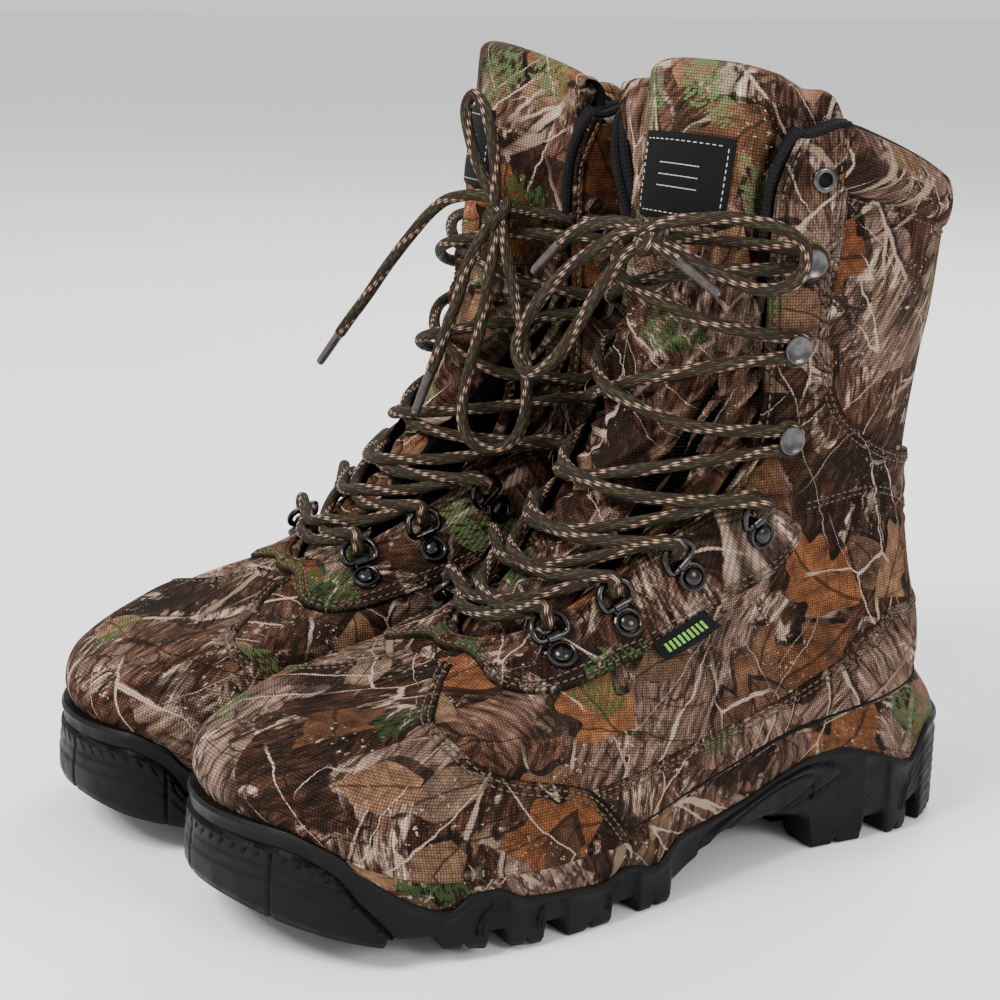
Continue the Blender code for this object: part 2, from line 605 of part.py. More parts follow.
KNOTS = {"left": (15, -9, 235), "right": (-28, -1, 232)}
BOWS = {
    "left": [
        [(15, -9, 237), (27, 0, 242), (39, 10, 243), (48, 23, 240), (52, 31, 233), (51, 29, 222),
         (46, 17, 219), (36, 3, 225), (17, -8, 233)],
        [(13, -10, 237), (-1, -18, 230), (-13, -24, 220), (-23, -30, 206), (-33, -31, 190),
         (-27, -30, 181), (-15, -27, 187), (-7, -23, 200), (2, -19, 216), (13, -10, 232)],
        [(13, -10, 238), (-8, -20, 234), (-30, -24, 219)],
        [(17, -8, 234), (27, -5, 229), (38, 3, 219)],
    ],
    "right": [
        [(-28, -1, 234), (-24, -4, 243), (-17, -6, 255), (-12, -7, 269), (-14, -5, 276), (-21, -3, 270),
         (-27, -2, 252), (-28, -2, 235)],
        [(-27, -2, 234), (-14, -9, 236), (1, -14, 231), (25, -21, 205), (47, -30, 178), (60, -38, 160)],
        [(-27, -2, 230), (-24, -11, 214), (-23, -16, 197), (-20, -23, 173), (-19, -31, 155)],
        [(-28, -1, 230), (-30, -3, 215), (-31, -9, 187), (-33, -17, 159), (-39, -15, 146), (-47, -5, 145),
         (-48, 2, 158), (-44, 2, 184), (-37, -1, 214), (-29, -1, 230)],
    ],
}


def make_bow(which):
    bm = bmesh.new()
    bmesh.ops.create_icosphere(bm, subdivisions=2, radius=1.0)
    size = Matrix.Diagonal((7.5 * MM, 5.5 * MM, 6.0 * MM, 1.0))
    bmesh.ops.transform(bm, matrix=Matrix.Translation(Vector(KNOTS[which]) * MM) @ size, verts=bm.verts)
    knot = bpy.data.meshes.new("knot")
    bm.to_mesh(knot)
    bm.free()
    strands = []
    for points in BOWS[which]:
        smooth = spline(points, np.linspace(0, 1, 3 * len(points) // 2))
        strands.append(wire("strand", [Vector(p) for p in smooth], LACE_RADIUS * 0.95))
    return fuse("lace_bow", [knot] + strands, LACE)


# ---- the pair -------------------------------------------------------------------------------------
for leftover in list(bpy.data.objects):
    bpy.data.objects.remove(leftover)
COLLECTION = bpy.data.collections.new("insulated_hunting_boots")
bpy.context.scene.collection.children.link(COLLECTION)

RUBBER = material("outsole_rubber", (0.018, 0.018, 0.019), 0.62)
CAMO = material("camouflage_fabric", (0.19, 0.135, 0.10), 0.85)
CAMO_SOLE = material("camouflage_sidewall", (0.20, 0.16, 0.13), 0.6)
FLEECE = material("black_lining", (0.02, 0.02, 0.022), 0.95)
BOARD = material("fibre_board", (0.32, 0.27, 0.20), 0.8)
FOAM = material("footbed_foam", (0.05, 0.05, 0.055), 0.9)
STEEL = material("shank_steel", (0.55, 0.55, 0.56), 0.35, 1.0)
GUNMETAL = material("gunmetal", (0.30, 0.29, 0.28), 0.3, 1.0)
LABEL = material("label_cloth", (0.012, 0.012, 0.013), 0.7)
LACE = material("lace_cord", (0.10, 0.075, 0.055), 0.8)

make_outsole()
make_sole_parts()
make_upper()
make_tongue()
for half, word in ((1, "lateral"), (-1, "medial")):
    make_hardware(half, word)
    for index in range(len(CLIPS)):
        make_ring(index, half, word)
make_lace()
left_parts = [o for o in COLLECTION.objects]

feet = {}
for word, sign in (("left", 1), ("right", -1)):
    foot = bpy.data.objects.new("boot_" + word, None)
    foot.location = (sign * BOOT_SPACING / 2 * MM, (PAIR_SHIFT + sign * STAGGER / 2) * MM, 0)
    foot.rotation_euler = (0, 0, sign * SPLAY)
    foot.scale = (sign, 1, 1)
    COLLECTION.objects.link(foot)
    feet[word] = foot
    bow = make_bow(word)
    bow.name = "lace_bow_" + word
    bow.parent = foot

for obj in left_parts:
    twin = obj.copy()
    COLLECTION.objects.link(twin)
    base_name = obj.name
    twin.name = base_name + "_right"
    obj.name = base_name + "_left"
    obj.parent, twin.parent = feet["left"], feet["right"]

bpy.context.view_layer.update()
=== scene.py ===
"""Looks of a pair of insulated lace-up hunting boots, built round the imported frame.

Lengths are millimetres in the frame of one left boot, until emit() turns them into world metres for both
boots. A place on a boot's skin is (t, v): turns from the heel round the lateral side, and the level up the
boot, from 0 at the feather line to RIM at the collar's edge.
"""
import math

import bpy
import numpy as np
from mathutils import Matrix, Vector
from mathutils.kdtree import KDTree


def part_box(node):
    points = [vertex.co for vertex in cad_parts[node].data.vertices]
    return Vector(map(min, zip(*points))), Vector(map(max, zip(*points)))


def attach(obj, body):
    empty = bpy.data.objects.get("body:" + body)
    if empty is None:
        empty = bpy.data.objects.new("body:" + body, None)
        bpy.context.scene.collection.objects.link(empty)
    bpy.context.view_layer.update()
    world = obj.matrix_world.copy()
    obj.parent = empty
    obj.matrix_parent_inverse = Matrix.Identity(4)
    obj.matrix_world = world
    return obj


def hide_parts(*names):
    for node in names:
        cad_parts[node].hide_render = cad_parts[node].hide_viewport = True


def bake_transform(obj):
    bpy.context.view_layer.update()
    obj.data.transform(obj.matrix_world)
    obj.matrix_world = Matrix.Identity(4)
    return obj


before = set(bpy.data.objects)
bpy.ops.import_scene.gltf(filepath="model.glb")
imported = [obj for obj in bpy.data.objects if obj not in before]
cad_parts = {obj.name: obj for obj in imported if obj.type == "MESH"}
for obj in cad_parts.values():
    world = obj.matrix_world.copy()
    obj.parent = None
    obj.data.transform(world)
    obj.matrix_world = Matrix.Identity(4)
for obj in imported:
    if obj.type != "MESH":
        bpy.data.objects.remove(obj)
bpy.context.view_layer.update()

# ---- the boot's driving shapes (millimetres) -----------------------------------------------------
SPLAY = math.radians(2.0)   # how far each boot's toe is turned out
RIM = 9.0                   # level of the collar's top edge
RIM_DIP = 0.15              # how far, in levels, the rim drops from the collar to the flaps' corners
SEAM = 0.0016               # half the least opening between the flaps, in turns
MEDIAL_FLARE, LATERAL_FLARE = 21.0, 0.5     # how far each flap's top corner stands open
EYESTAY_DEPTH = -2.4        # under face of the eyestay; a minus depth is outside the skin
WIRE_RADIUS = 0.9           # the CAD ring's wire, which the clips' curls are made for
RING_RADIUS = 1.25          # the wire as it looks
CLIP_REACH = 6.6            # from a clip's rivet to the centre of its curl
LACE_RADIUS, LACE_SIDES, LACE_STEP = 2.35, 14, 1.25
SIDES = ((1, "lateral"), (-1, "medial"))

# plan outlines of upper and sole, from the heel round the lateral side
FOOT = [(0, 128), (26, 120), (37, 96), (36, 45), (49, -32), (53, -90), (39, -138), (-2, -163),
        (-38, -150), (-51, -100), (-44, -30), (-36, 30), (-34, 92), (-25, 119)]
SOLE = [(0, 143), (29, 133), (43, 102), (41, 45), (54, -32), (57, -90), (43, -142), (-2, -169),
        (-42, -155), (-55, -102), (-48, -30), (-40, 30), (-39, 98), (-28, 132)]
# cross-loops of the upper: front y, back y, front z, back z, half width, centre x, roundness
LEVELS = [(-157, 128, 45, 63, 50, 0, 0.0), (-160, 129, 54, 74, 51, 0, 0.0), (-156, 129, 65, 86, 50, -1, 0.05),
          (-140, 127, 73, 100, 47, -2, 0.15), (-105, 125, 80, 116, 43, -1, 0.35),
          (-69, 124, 95, 132, 39, 0, 0.6), (-37, 125, 121, 150, 38, 0, 0.85),
          (-12, 128, 163, 175, 39, 0, 1.0), (2, 132, 220, 205, 43, 0, 1.0), (8, 134, 290, 246, 45, 0, 1.0)]
FEATHER = [(-170, 48), (-158, 47), (-147, 42), (-135, 37), (-119, 33), (-102, 31), (-62, 29.5),
           (-45, 29.5), (-27, 32), (-6, 37), (15, 41), (37, 45), (58, 49), (95, 55), (145, 63)]
SOLE_TOP = [(-170, 45), (-158, 44), (-148, 40), (-138, 34), (-129, 28), (-120, 22.5), (-109, 19),
            (-100, 24), (-92, 24), (-80, 19), (-60, 17), (-47, 16), (-36, 19), (-22, 16), (-8, 24.5),
            (3, 25.5), (25, 28.5), (46, 34), (61, 38), (73, 39), (89, 35), (109, 28.5), (121, 40),
            (145, 42)]
SOLE_BASE = [(-170, 22), (-157, 17), (-129, 12), (-110, 11), (-70, 9), (-40, 7.5), (-16, 8),
             (-3, 11), (13, 19), (36, 19), (55, 15), (67, 11), (90, 11), (109, 12), (121, 17),
             (145, 20)]
GROUND = [(-170, 20), (-157, 15), (-129, 8.5), (-112, 5.5), (-95, 3), (-73, 0.6), (-62, 0), (150, 0)]
LUGS = [(-190, -131), (-112, -95), (-87, -73), (-63, -43), (-30, -14), (61, 85), (97, 108), (118, 137)]
GAP = [(4.0, 0), (4.95, 0), (5.05, 0.045), (5.15, 0.06), (5.62, 0.088), (6.03, 0.12),
       (6.35, 0.165), (6.9, 0.18), (7.6, 0.162), (8.2, 0.147), (8.6, 0.145), (9.1, 0.165)]
TOE_SEAM = [(-0.4, 0.286), (0, 0.288), (1.23, 0.308), (1.98, 0.358), (2.85, 0.39), (4.08, 0.445),
            (4.58, 0.468), (4.66, 0.48)]
SHAFT_SEAM = [(5.7, 0.0), (6.05, 0.108), (6.9, 0.223), (7.43, 0.265), (8.05, 0.283), (9.0, 0.283)]
FOXING_TOP = [(0.0, 2.45), (0.105, 2.45), (0.14, 2.5), (0.172, 1.75), (0.215, 1.15), (0.263, 1.2),
              (0.31, 1.25)]
EYESTAY_EDGE = [(0.5, 4.74), (0.46, 4.70), (0.40, 4.05), (0.36, 3.62), (0.335, 3.6), (0.305, 4.05),
                (0.275, 4.6), (0.242, 4.85), (0.233, 5.4), (0.245, 5.8), (0.28, 6.2), (0.3, 6.28)]
ANKLE_SEAM = [(0.236, 5.83), (0.158, 5.53), (0.068, 4.48), (0.0, 4.1)]
CLIPS = [(0.38, 4.5), (0.35, 4.9), (0.323, 5.48), (0.28, 5.85)]
RING_TIPS = [(0.43, 5.15), (0.403, 5.62), (0.372, 6.03), (0.315, 6.38)]
HOOKS = [(0.294, 6.90), (0.314, 7.64), (0.317, 8.22)]
EYELET = (0.31, 8.73)


# ---- curves and the skin -------------------------------------------------------------------------
def unit(a):
    return a / np.linalg.norm(a, axis=-1, keepdims=True)


def run_along(path):
    """Length run up to each point of a path."""
    return np.concatenate([[0], np.cumsum(np.linalg.norm(np.diff(path, axis=0), axis=-1))])


def at_runs(at, run, path):
    """Points at the given lengths along a path."""
    return np.stack([np.interp(at, run, path[:, k]) for k in range(path.shape[1])], -1)


def row_at(turns, v):
    """Row of places at one level."""
    return np.column_stack([turns, np.full(len(turns), v)])


def spline(points, s, cyclic=False):
    """Catmull-Rom curve through the points at parameters s in 0..1."""
    p = np.asarray(points, float)
    if cyclic:
        n = len(p)
        s = (np.asarray(s, float) % 1) * n
        i = np.floor(s).astype(int)
        a, b, c, d = (p[(i + k) % n] for k in (-1, 0, 1, 2))
    else:
        n = len(p) - 1
        p = np.vstack([2 * p[0] - p[1], p, 2 * p[-1] - p[-2]])
        s = np.clip(np.asarray(s, float), 0, 1) * n
        i = np.minimum(np.floor(s).astype(int), n - 1)
        a, b, c, d = (p[i + k] for k in range(4))
    f = (s - i)[..., None]
    return 0.5 * (2 * b + (c - a) * f + (2 * a - 5 * b + 4 * c - d) * f**2
                  + (3 * b - a - 3 * c + d) * f**3)


def along(table, x):
    """Smooth value, without overshoot, read off a table of (x, value) pairs."""
    xs, ys = np.array(table, float).T
    h = np.diff(xs)
    d = np.diff(ys) / h
    both = np.where(d[:-1] * d[1:] > 0, 2 * d[:-1] * d[1:] / (d[:-1] + d[1:] + 1e-12), 0)
    m = np.concatenate([d[:1], both, d[-1:]])
    x = np.clip(x, xs[0], xs[-1])
    i = np.clip(np.searchsorted(xs, x) - 1, 0, len(h) - 1)
    f = (x - xs[i]) / h[i]
    return (ys[i] * (1 + 2 * f) * (1 - f)**2 + h[i] * m[i] * f * (1 - f)**2
            + ys[i + 1] * f * f * (3 - 2 * f) + h[i] * m[i + 1] * f * f * (f - 1))


def smooth(x, lo, hi):
    f = np.clip((np.asarray(x, float) - lo) / (hi - lo), 0, 1)
    return f * f * (3 - 2 * f)


def hump(x, middle, width):
    """Bell of height 1."""
    return np.exp(-((x - middle) / width)**2)


def outline(points, t, inset=0.0):
    """Plan curve moved inward by a distance."""
    t = np.asarray(t, float)
    p = spline(points, t, True)
    d = unit(spline(points, t + 1e-3, True) - spline(points, t - 1e-3, True))
    return p + np.asarray(inset)[..., None] * np.stack([d[..., 1], -d[..., 0]], -1)


def upper(t, v):
    """Point of the upper's skin."""
    t, v = np.broadcast_arrays(np.asarray(t, float), np.asarray(v, float))
    off = np.abs((t + 0.5) % 1 - 0.5)
    v = v - RIM_DIP * smooth(v, 7.9, RIM) * smooth(off, 0.285, 0.335)
    level = spline(LEVELS, v / (len(LEVELS) - 1))
    front, back, zf, zb, half, xc, round_ = (level[..., k] for k in range(7))
    round_ = np.clip(round_, 0, 1)
    y0, y1 = LEVELS[0][:2]
    foot = spline(FOOT, t, True)
    fx, fy = foot[..., 0] / 49, (foot[..., 1] - (y0 + y1) / 2) / ((y1 - y0) / 2)
    ux = (1 - round_) * fx + round_ * np.sin(2 * np.pi * t)
    uy = (1 - round_) * fy + round_ * np.cos(2 * np.pi * t)
    y = (front + back) / 2 + (back - front) / 2 * uy
    z = zf + (zb - zf) * (uy + 1) / 2
    flat = LEVELS[0][2] + (LEVELS[0][3] - LEVELS[0][2]) * (uy + 1) / 2
    z = z + np.clip(1 - np.maximum(v, 0) / 3, 0, 1) * (along(FEATHER, y) - flat) + 8 * np.minimum(v, 0)
    past = 0.5 - off - gap(v)
    flare = smooth(v, 7.6, 8.9) * smooth(past, -0.035, -0.012) * (1 - smooth(past, 0.0, 0.10))
    flare = flare * np.where(t % 1 > 0.5, MEDIAL_FLARE, LATERAL_FLARE)
    x = xc + half * ux
    return np.stack([x + np.sign(x) * 0.8 * flare, y - 0.6 * flare, z], -1)


def outward(t, v):
    du = upper(t + 1e-3, v) - upper(t - 1e-3, v)
    low, high = np.clip(v - 0.02, 0, RIM), np.clip(v + 0.02, 0.04, RIM)
    return -unit(np.cross(du, upper(t, high) - upper(t, low)))


def skin(t, v, depth=0.0):
    """Skin sunk by a depth along its own normal."""
    t, v = np.broadcast_arrays(np.asarray(t, float), np.asarray(v, float))
    return upper(t, v) - outward(t, v) * np.asarray(depth)[..., None]


def gap(v):
    return along(GAP, v)


def frame_at(t, v, toward, depth):
    """Origin, direction toward a second skin point, direction across it, outward normal."""
    p, n = skin(t, v, depth), outward(np.asarray(t, float), np.asarray(v, float))
    d = skin(*toward) - skin(t, v)
    d = unit(d - n * (d @ n))
    return p, d, np.cross(n, d), n


def lumps(p, size, seed=0):
    """Smooth noise over points, about -1 to 1, with lumps of a given size."""
    q = np.asarray(p, float) / size + 31.7 * seed + 100
    i = np.floor(q).astype(np.int64)
    f = q - i
    w = f**3 * (f * (6 * f - 15) + 10)
    total = 0
    for corner in range(8):
        o = np.array([corner & 1, corner >> 1 & 1, corner >> 2 & 1])
        c = i + o
        h = (c[..., 0] * 73856093) ^ (c[..., 1] * 19349663) ^ (c[..., 2] * 83492791)
        h = ((h ^ (h >> 13)) * 1274126177) & 0xFFFFFFFF
        h = (h ^ (h >> 16)) & 0xFFFF
        total = total + (h / 32768 - 1) * np.prod(np.where(o == 1, w, 1 - w), axis=-1)
    return total


# ---- where each boot stands ----------------------------------------------------------------------
def placement(word):
    """Matrix from one boot's millimetres to the world, found from the CAD outsole's box."""
    sign = 1 if word == "left" else -1
    turn = Matrix.Rotation(sign * SPLAY, 4, "Z") @ Matrix.Diagonal((sign * 0.001, 0.001, 0.001, 1))
    plan = np.array([(turn @ Vector((x, y, 0)))[:2] for x, y in outline(SOLE, np.linspace(0, 1, 400))])
    low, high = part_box("outsole_" + word)
    middle = (np.array(low[:2]) + np.array(high[:2]) - plan.min(0) - plan.max(0)) / 2
    return Matrix.Translation((*middle, 0)) @ turn


BOTH = ("left", "right")
RIGHT_CLOTH = np.array([0.63, 0.41])    # where the right boot is cut from the printed cloth
PLACES = {word: placement(word) for word in BOTH}


def emit(name, soup, materials, body="boot_{}", node=None, words=BOTH,
         crease=None, seed=0):
    """One mesh piece on each boot, riding on a body and standing for the CAD node of its name or of `node`.
    """
    stands_for = [] if node == "" else [(node or name) + "_{}"]
    made = []
    verts, faces = np.asarray(soup.verts, float), soup.faces
    for word in words:
        m = np.array(PLACES[word])
        points = verts @ m[:3, :3].T + m[:3, 3]
        turned = faces if word == "left" else [f[::-1] for f in faces]
        mesh = bpy.data.meshes.new(name)
        mesh.from_pydata(points.tolist(), [], turned)
        loops = np.zeros(len(mesh.loops), np.int32)
        mesh.loops.foreach_get("vertex_index", loops)
        uv = np.asarray(soup.uv, float)[loops]
        uv = uv + np.array([0.137 * seed, 0.291 * seed]) + (RIGHT_CLOTH if word == "right" else 0)
        layer = mesh.uv_layers.new(name="cloth")
        layer.data.foreach_set("uv", uv.astype(np.float32).ravel())
        mesh.shade_smooth()
        if crease:
            mesh.set_sharp_from_angle(angle=math.radians(crease))
        for mat in materials:
            mesh.materials.append(mat)
        if len(materials) > 1:
            mesh.polygons.foreach_set("material_index", np.asarray(soup.mats, np.int32))
        if soup.shade is not None:
            mesh.attributes.new("shade", "FLOAT", "POINT").data.foreach_set("value", soup.shade)
        mesh.update()
        obj = bpy.data.objects.new("%s_%s_look" % (name, word), mesh)
        bpy.context.scene.collection.objects.link(obj)
        if stands_for:
            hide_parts(*[n.format(word) for n in stands_for])
        if body:
            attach(obj, body.format(word))
        made.append(obj)
    return made


class Soup:
    """Vertices, faces, cloth coordinates (metres) and material numbers of one piece."""

    def __init__(self):
        self.verts, self.faces, self.uv, self.mats, self.shade = [], [], [], [], None

    def add(self, verts, faces, uv=None, mat=0):
        start = len(self.verts)
        self.verts += [tuple(p) for p in verts]
        self.faces += [tuple(start + i for i in f) for f in faces]
        self.uv += [tuple(p) for p in (uv if uv is not None else np.asarray(verts)[:, :2] * 0.001)]
        self.mats += [mat] * len(faces) if np.isscalar(mat) else list(mat)
        return self


def grid_faces(nu, nv, wrap_u=False, wrap_v=False):
    i = np.arange(nu if wrap_u else nu - 1)[:, None]
    j = np.arange(nv if wrap_v else nv - 1)[None, :]
    a, b = i * nv + j, i * nv + (j + 1) % nv
    c, d = (i + 1) % nu * nv + (j + 1) % nv, (i + 1) % nu * nv + j
    return [tuple(q) for q in np.stack([a, b, c, d], -1).reshape(-1, 4).tolist()]


def slab(outer, inner, uv):
    """Closed panel between two matching grids."""
    nu, nv = outer.shape[:2]
    count = nu * nv
    top = grid_faces(nu, nv)
    faces = [f[::-1] for f in top] + [tuple(count + k for k in f) for f in top]
    rim = [i * nv for i in range(nu)] + [(nu - 1) * nv + j for j in range(1, nv)]
    rim += [i * nv + nv - 1 for i in range(nu - 2, -1, -1)] + list(range(nv - 2, 0, -1))
    faces += [(b, a, a + count, b + count) for a, b in zip(rim, rim[1:] + rim[:1])]
    flat = uv.reshape(-1, 2)
    return Soup().add(np.vstack([outer.reshape(-1, 3), inner.reshape(-1, 3)]), [f[::-1] for f in faces],
                      np.vstack([flat, flat]))


def loft(rings, uv=None):
    """Capped body through a stack of rings, each a closed row of points."""
    rings = np.asarray(rings, float)
    m, n = rings.shape[:2]
    faces = grid_faces(m, n, False, True)
    faces += [tuple(range(n))[::-1], tuple((m - 1) * n + i for i in range(n))]
    if uv is None:
        run = np.zeros((m, n))
        run[1:] = np.cumsum(np.linalg.norm(np.diff(rings, axis=0), axis=-1), 0)
        round_ = np.zeros((m, n))
        round_[:, 1:] = np.cumsum(np.linalg.norm(np.diff(rings, axis=1), axis=-1), 1)
        uv = np.stack([round_, run], -1) * 0.001
    return rings.reshape(-1, 3), faces, np.asarray(uv).reshape(-1, 2)


def frames(path, closed=False):
    """Tangents and two steady cross directions along a path."""
    ahead = np.roll(path, -1, 0) - np.roll(path, 1, 0) if closed else np.gradient(path, axis=0)
    tangent = unit(ahead)
    side = np.cross(tangent[0], (0.3, 0.2, 0.93))
    sides = []
    for t in tangent:
        side = unit(side - t * (side @ t))
        sides.append(side)
    sides = np.array(sides)
    if closed:
        last = unit(sides[-1] - tangent[0] * (sides[-1] @ tangent[0]))
        miss = math.atan2(np.cross(last, sides[0]) @ tangent[0], last @ sides[0])
        angle = np.linspace(0, miss, len(path))[:, None]
        sides = sides * np.cos(angle) + np.cross(tangent, sides) * np.sin(angle)
    return tangent, sides, np.cross(tangent, sides)


def tube(path, radius, sides=12, closed=False):
    """Round cord along a path; its cloth coordinates are metres along and turns round."""
    path = np.asarray(path, float)
    _, a, b = frames(path, closed)
    r = np.broadcast_to(np.asarray(radius, float), len(path))[:, None, None]
    turn = np.linspace(0, 2 * np.pi, sides + 1)
    ring = path[:, None] + r * (a[:, None] * np.cos(turn)[:, None] + b[:, None] * np.sin(turn)[:, None])
    run = run_along(path)
    uv = np.stack(np.broadcast_arrays(run[:, None] * 0.001, turn / (2 * np.pi)), -1)
    if closed:
        ring, uv = ring[:, :-1], uv[:, :-1]
        return ring.reshape(-1, 3), grid_faces(len(path), sides, True, True), uv.reshape(-1, 2)
    n = sides + 1
    faces = grid_faces(len(path), n)
    m = len(path)
    verts = np.vstack([ring.reshape(-1, 3), path[:1], path[-1:]])
    faces += [(m * n, i, i + 1) for i in range(sides)]
    faces += [(m * n + 1, (m - 1) * n + i + 1, (m - 1) * n + i) for i in range(sides)]
    return verts, faces, np.vstack([uv.reshape(-1, 2), uv[0, :1], uv[-1, :1]])


def turned(profile, origin, axis, segments=28):
    """Solid of revolution: profile of (radius, height) from the axis to the axis."""
    profile = np.array(profile, float)
    side = unit(np.cross(axis, (0.31, 0.72, 0.62)))
    other = np.cross(axis, side)
    turn = np.linspace(0, 2 * np.pi, segments, endpoint=False)
    ring = np.cos(turn)[:, None] * side + np.sin(turn)[:, None] * other
    points = (np.asarray(origin) + profile[:, 1][:, None, None] * axis
              + profile[:, 0][:, None, None] * ring[None])
    return loft(points)


def resample(points, step, closed=False):
    """Smooth path through the points with an even step."""
    points = np.asarray(points, float)
    rough = spline(points, np.linspace(0, 1, 24 * len(points), endpoint=not closed), closed)
    if closed:
        rough = np.vstack([rough, rough[:1]])
    run = run_along(rough)
    n = max(int(run[-1] / step), 8)
    at = np.linspace(0, run[-1], n, endpoint=not closed)
    return at_runs(at, run, rough)


def trace(places, n=240):
    """Dense curve of places through a few, evenly spread on the skin."""
    rough = spline(places, np.linspace(0, 1, 30 * len(places)))
    run = run_along(upper(rough[:, 0], rough[:, 1]))
    at = np.linspace(0, run[-1], n)
    return at_runs(at, run, rough)


def inset(curve, d):
    """Curve of places moved over the skin by a distance, to the left of its run seen from outside."""
    t, v = curve.T
    run = unit(np.gradient(upper(t, v), axis=0))
    dt = (upper(t + 1e-3, v) - upper(t - 1e-3, v)) / 2e-3
    high = np.minimum(v + 0.01, RIM)
    dv = (upper(t, high) - upper(t, v - 0.01)) / (high - v + 0.01)[:, None]
    side = np.cross(outward(t, v), run)
    a, b, c = (dt * dt).sum(-1), (dt * dv).sum(-1), (dv * dv).sum(-1)
    p, q = (side * dt).sum(-1), (side * dv).sum(-1)
    det = a * c - b * b
    return curve + d * np.stack([(c * p - b * q) / det, (a * q - b * p) / det], -1)


def flipped(places, side):
    places = np.array(places, float)
    if side < 0:
        places[..., 0] = 1 - places[..., 0]
    return places


# ---- panels and stitching ------------------------------------------------------------------------
EDGE = np.array([0, .12, .35, .7, 1.1, 1.5, 1.9, 2.3, 2.8, 3.4, 3.9, 4.3, 4.8, 5.6, 6.8])
ROWS = (2.0, 4.3)           # the two stitch rows' distances from a panel's edge
STITCH_PITCH, STITCH_LENGTH, STITCH_RADIUS = 3.1, 2.3, 0.42
THREAD = Soup()             # every stitch of a boot


def ruled(a, b, n, near=(True, True)):
    """Grid of places between two rows of places, crowded toward the edges that carry stitching."""
    w = np.linspace(0, 1, 25)
    line = a[None] * (1 - w[:, None, None]) + b[None] * w[:, None, None]
    p = upper(line[..., 0], line[..., 1])
    run = np.concatenate([np.zeros((1, len(a))), np.cumsum(np.linalg.norm(np.diff(p, axis=0), axis=-1), 0)])
    start = EDGE if near[0] else EDGE[:1]
    stop = EDGE[::-1] if near[1] else EDGE[:1]
    rows = []
    for k in range(len(a)):
        length = run[-1, k]
        scale = min(1.0, 0.45 * length / EDGE[-1])
        middle = np.linspace(start[-1] * scale, length - stop[0] * scale, n + 2)[1:-1]
        f = np.interp(np.concatenate([start * scale, middle, length - stop * scale]), run[:, k], w)[:, None]
        rows.append(a[k] * (1 - f) + b[k] * f)
    return np.stack(rows, 1)


def cloth_uv(t, v, t_ref):
    """Cloth coordinates in metres: round the skin from a reference turn, and up from the feather."""
    s = np.linspace(0, 1, 9)[:, None, None]
    u = np.linalg.norm(np.diff(upper(t_ref + (t - t_ref) * s, v[None] + 0 * s), axis=0), axis=-1).sum(0)
    w = np.linalg.norm(np.diff(upper(t[None] + 0 * s, v * s), axis=0), axis=-1).sum(0)
    return np.stack([u * np.sign(t - t_ref), w], -1) * 0.001


def wall_uv(t, v, t_ref):
    """Cloth coordinates for upright walls: level distance round from a reference turn, and height."""
    s = np.linspace(0, 1, 9)[:, None, None]
    steps = np.diff(upper(t_ref + (t - t_ref) * s, v[None] + 0 * s)[..., :2], axis=0)
    u = np.linalg.norm(steps, axis=-1).sum(0)
    return np.stack([u * np.sign(t - t_ref), upper(t, v)[..., 2]], -1) * 0.001


def side_uv(t, v, _):
    """Cloth coordinates of a side panel: length and height, carried on round the heel and over the instep."""
    x, y, z = np.moveaxis(upper(t, v), -1, 0)
    over = 0.9 * (38 - np.abs(x))
    return np.stack([y + over * smooth(y, 85, 120), z + over * smooth(-y, -20, 60)], -1) * 0.001


def instep_uv(t, v, _):
    """Cloth coordinates of the facing that wraps over the instep."""
    x, y, z = np.moveaxis(upper(t, v), -1, 0)
    return np.stack([np.abs(x) + 0.3 * y, 0.75 * z + 0.6 * y], -1) * 0.001


def distance_to(points, curves):
    """Distance from each point to the nearest of some curves of places."""
    line = np.vstack([upper(c[:, 0], c[:, 1]) for c in curves])
    tree = KDTree(len(line))
    for k, p in enumerate(line):
        tree.insert(p, k)
    tree.balance()
    flat = points.reshape(-1, 3)
    return np.array([tree.find(p)[2] for p in flat]).reshape(points.shape[:-1])


def panel(grid, borders, lift, relief, thick=1.3, base=0.0, t_ref=0.25, cloth=None):
    """Cloth panel with turned edges along its borders and a groove under each stitch row, with painted shade
    in the grooves and along the edges.
    """
    t, v = grid[..., 0], grid[..., 1]
    flat = upper(t, v)
    depth = np.full(t.shape, base - lift)
    # shade: painted shade along the turned edge and in each stitch groove; the cloth materials darken their
    # print by it
    shade = np.zeros(t.shape)
    if borders:
        d = distance_to(flat, borders)
        depth = base - lift * np.sqrt(1 - (1 - np.clip(d / 1.1, 0.02, 1))**2)
        for at in ROWS:
            depth = depth + 0.45 * hump(d, at, 0.6)
            shade = np.maximum(shade, 0.8 * hump(d, at, 0.6))
        shade = np.maximum(shade, 0.9 * hump(d, 0, 0.9))
        depth = depth - 0.5 * hump(d, 3.1, 0.9)
    depth = depth - relief(t, v, flat)
    soup = slab(skin(t, v, depth), skin(t, v, base + thick), (cloth or cloth_uv)(t, v, t_ref))
    soup.shade = np.concatenate([shade.ravel(), 0 * shade.ravel()]).astype(np.float32)
    return soup


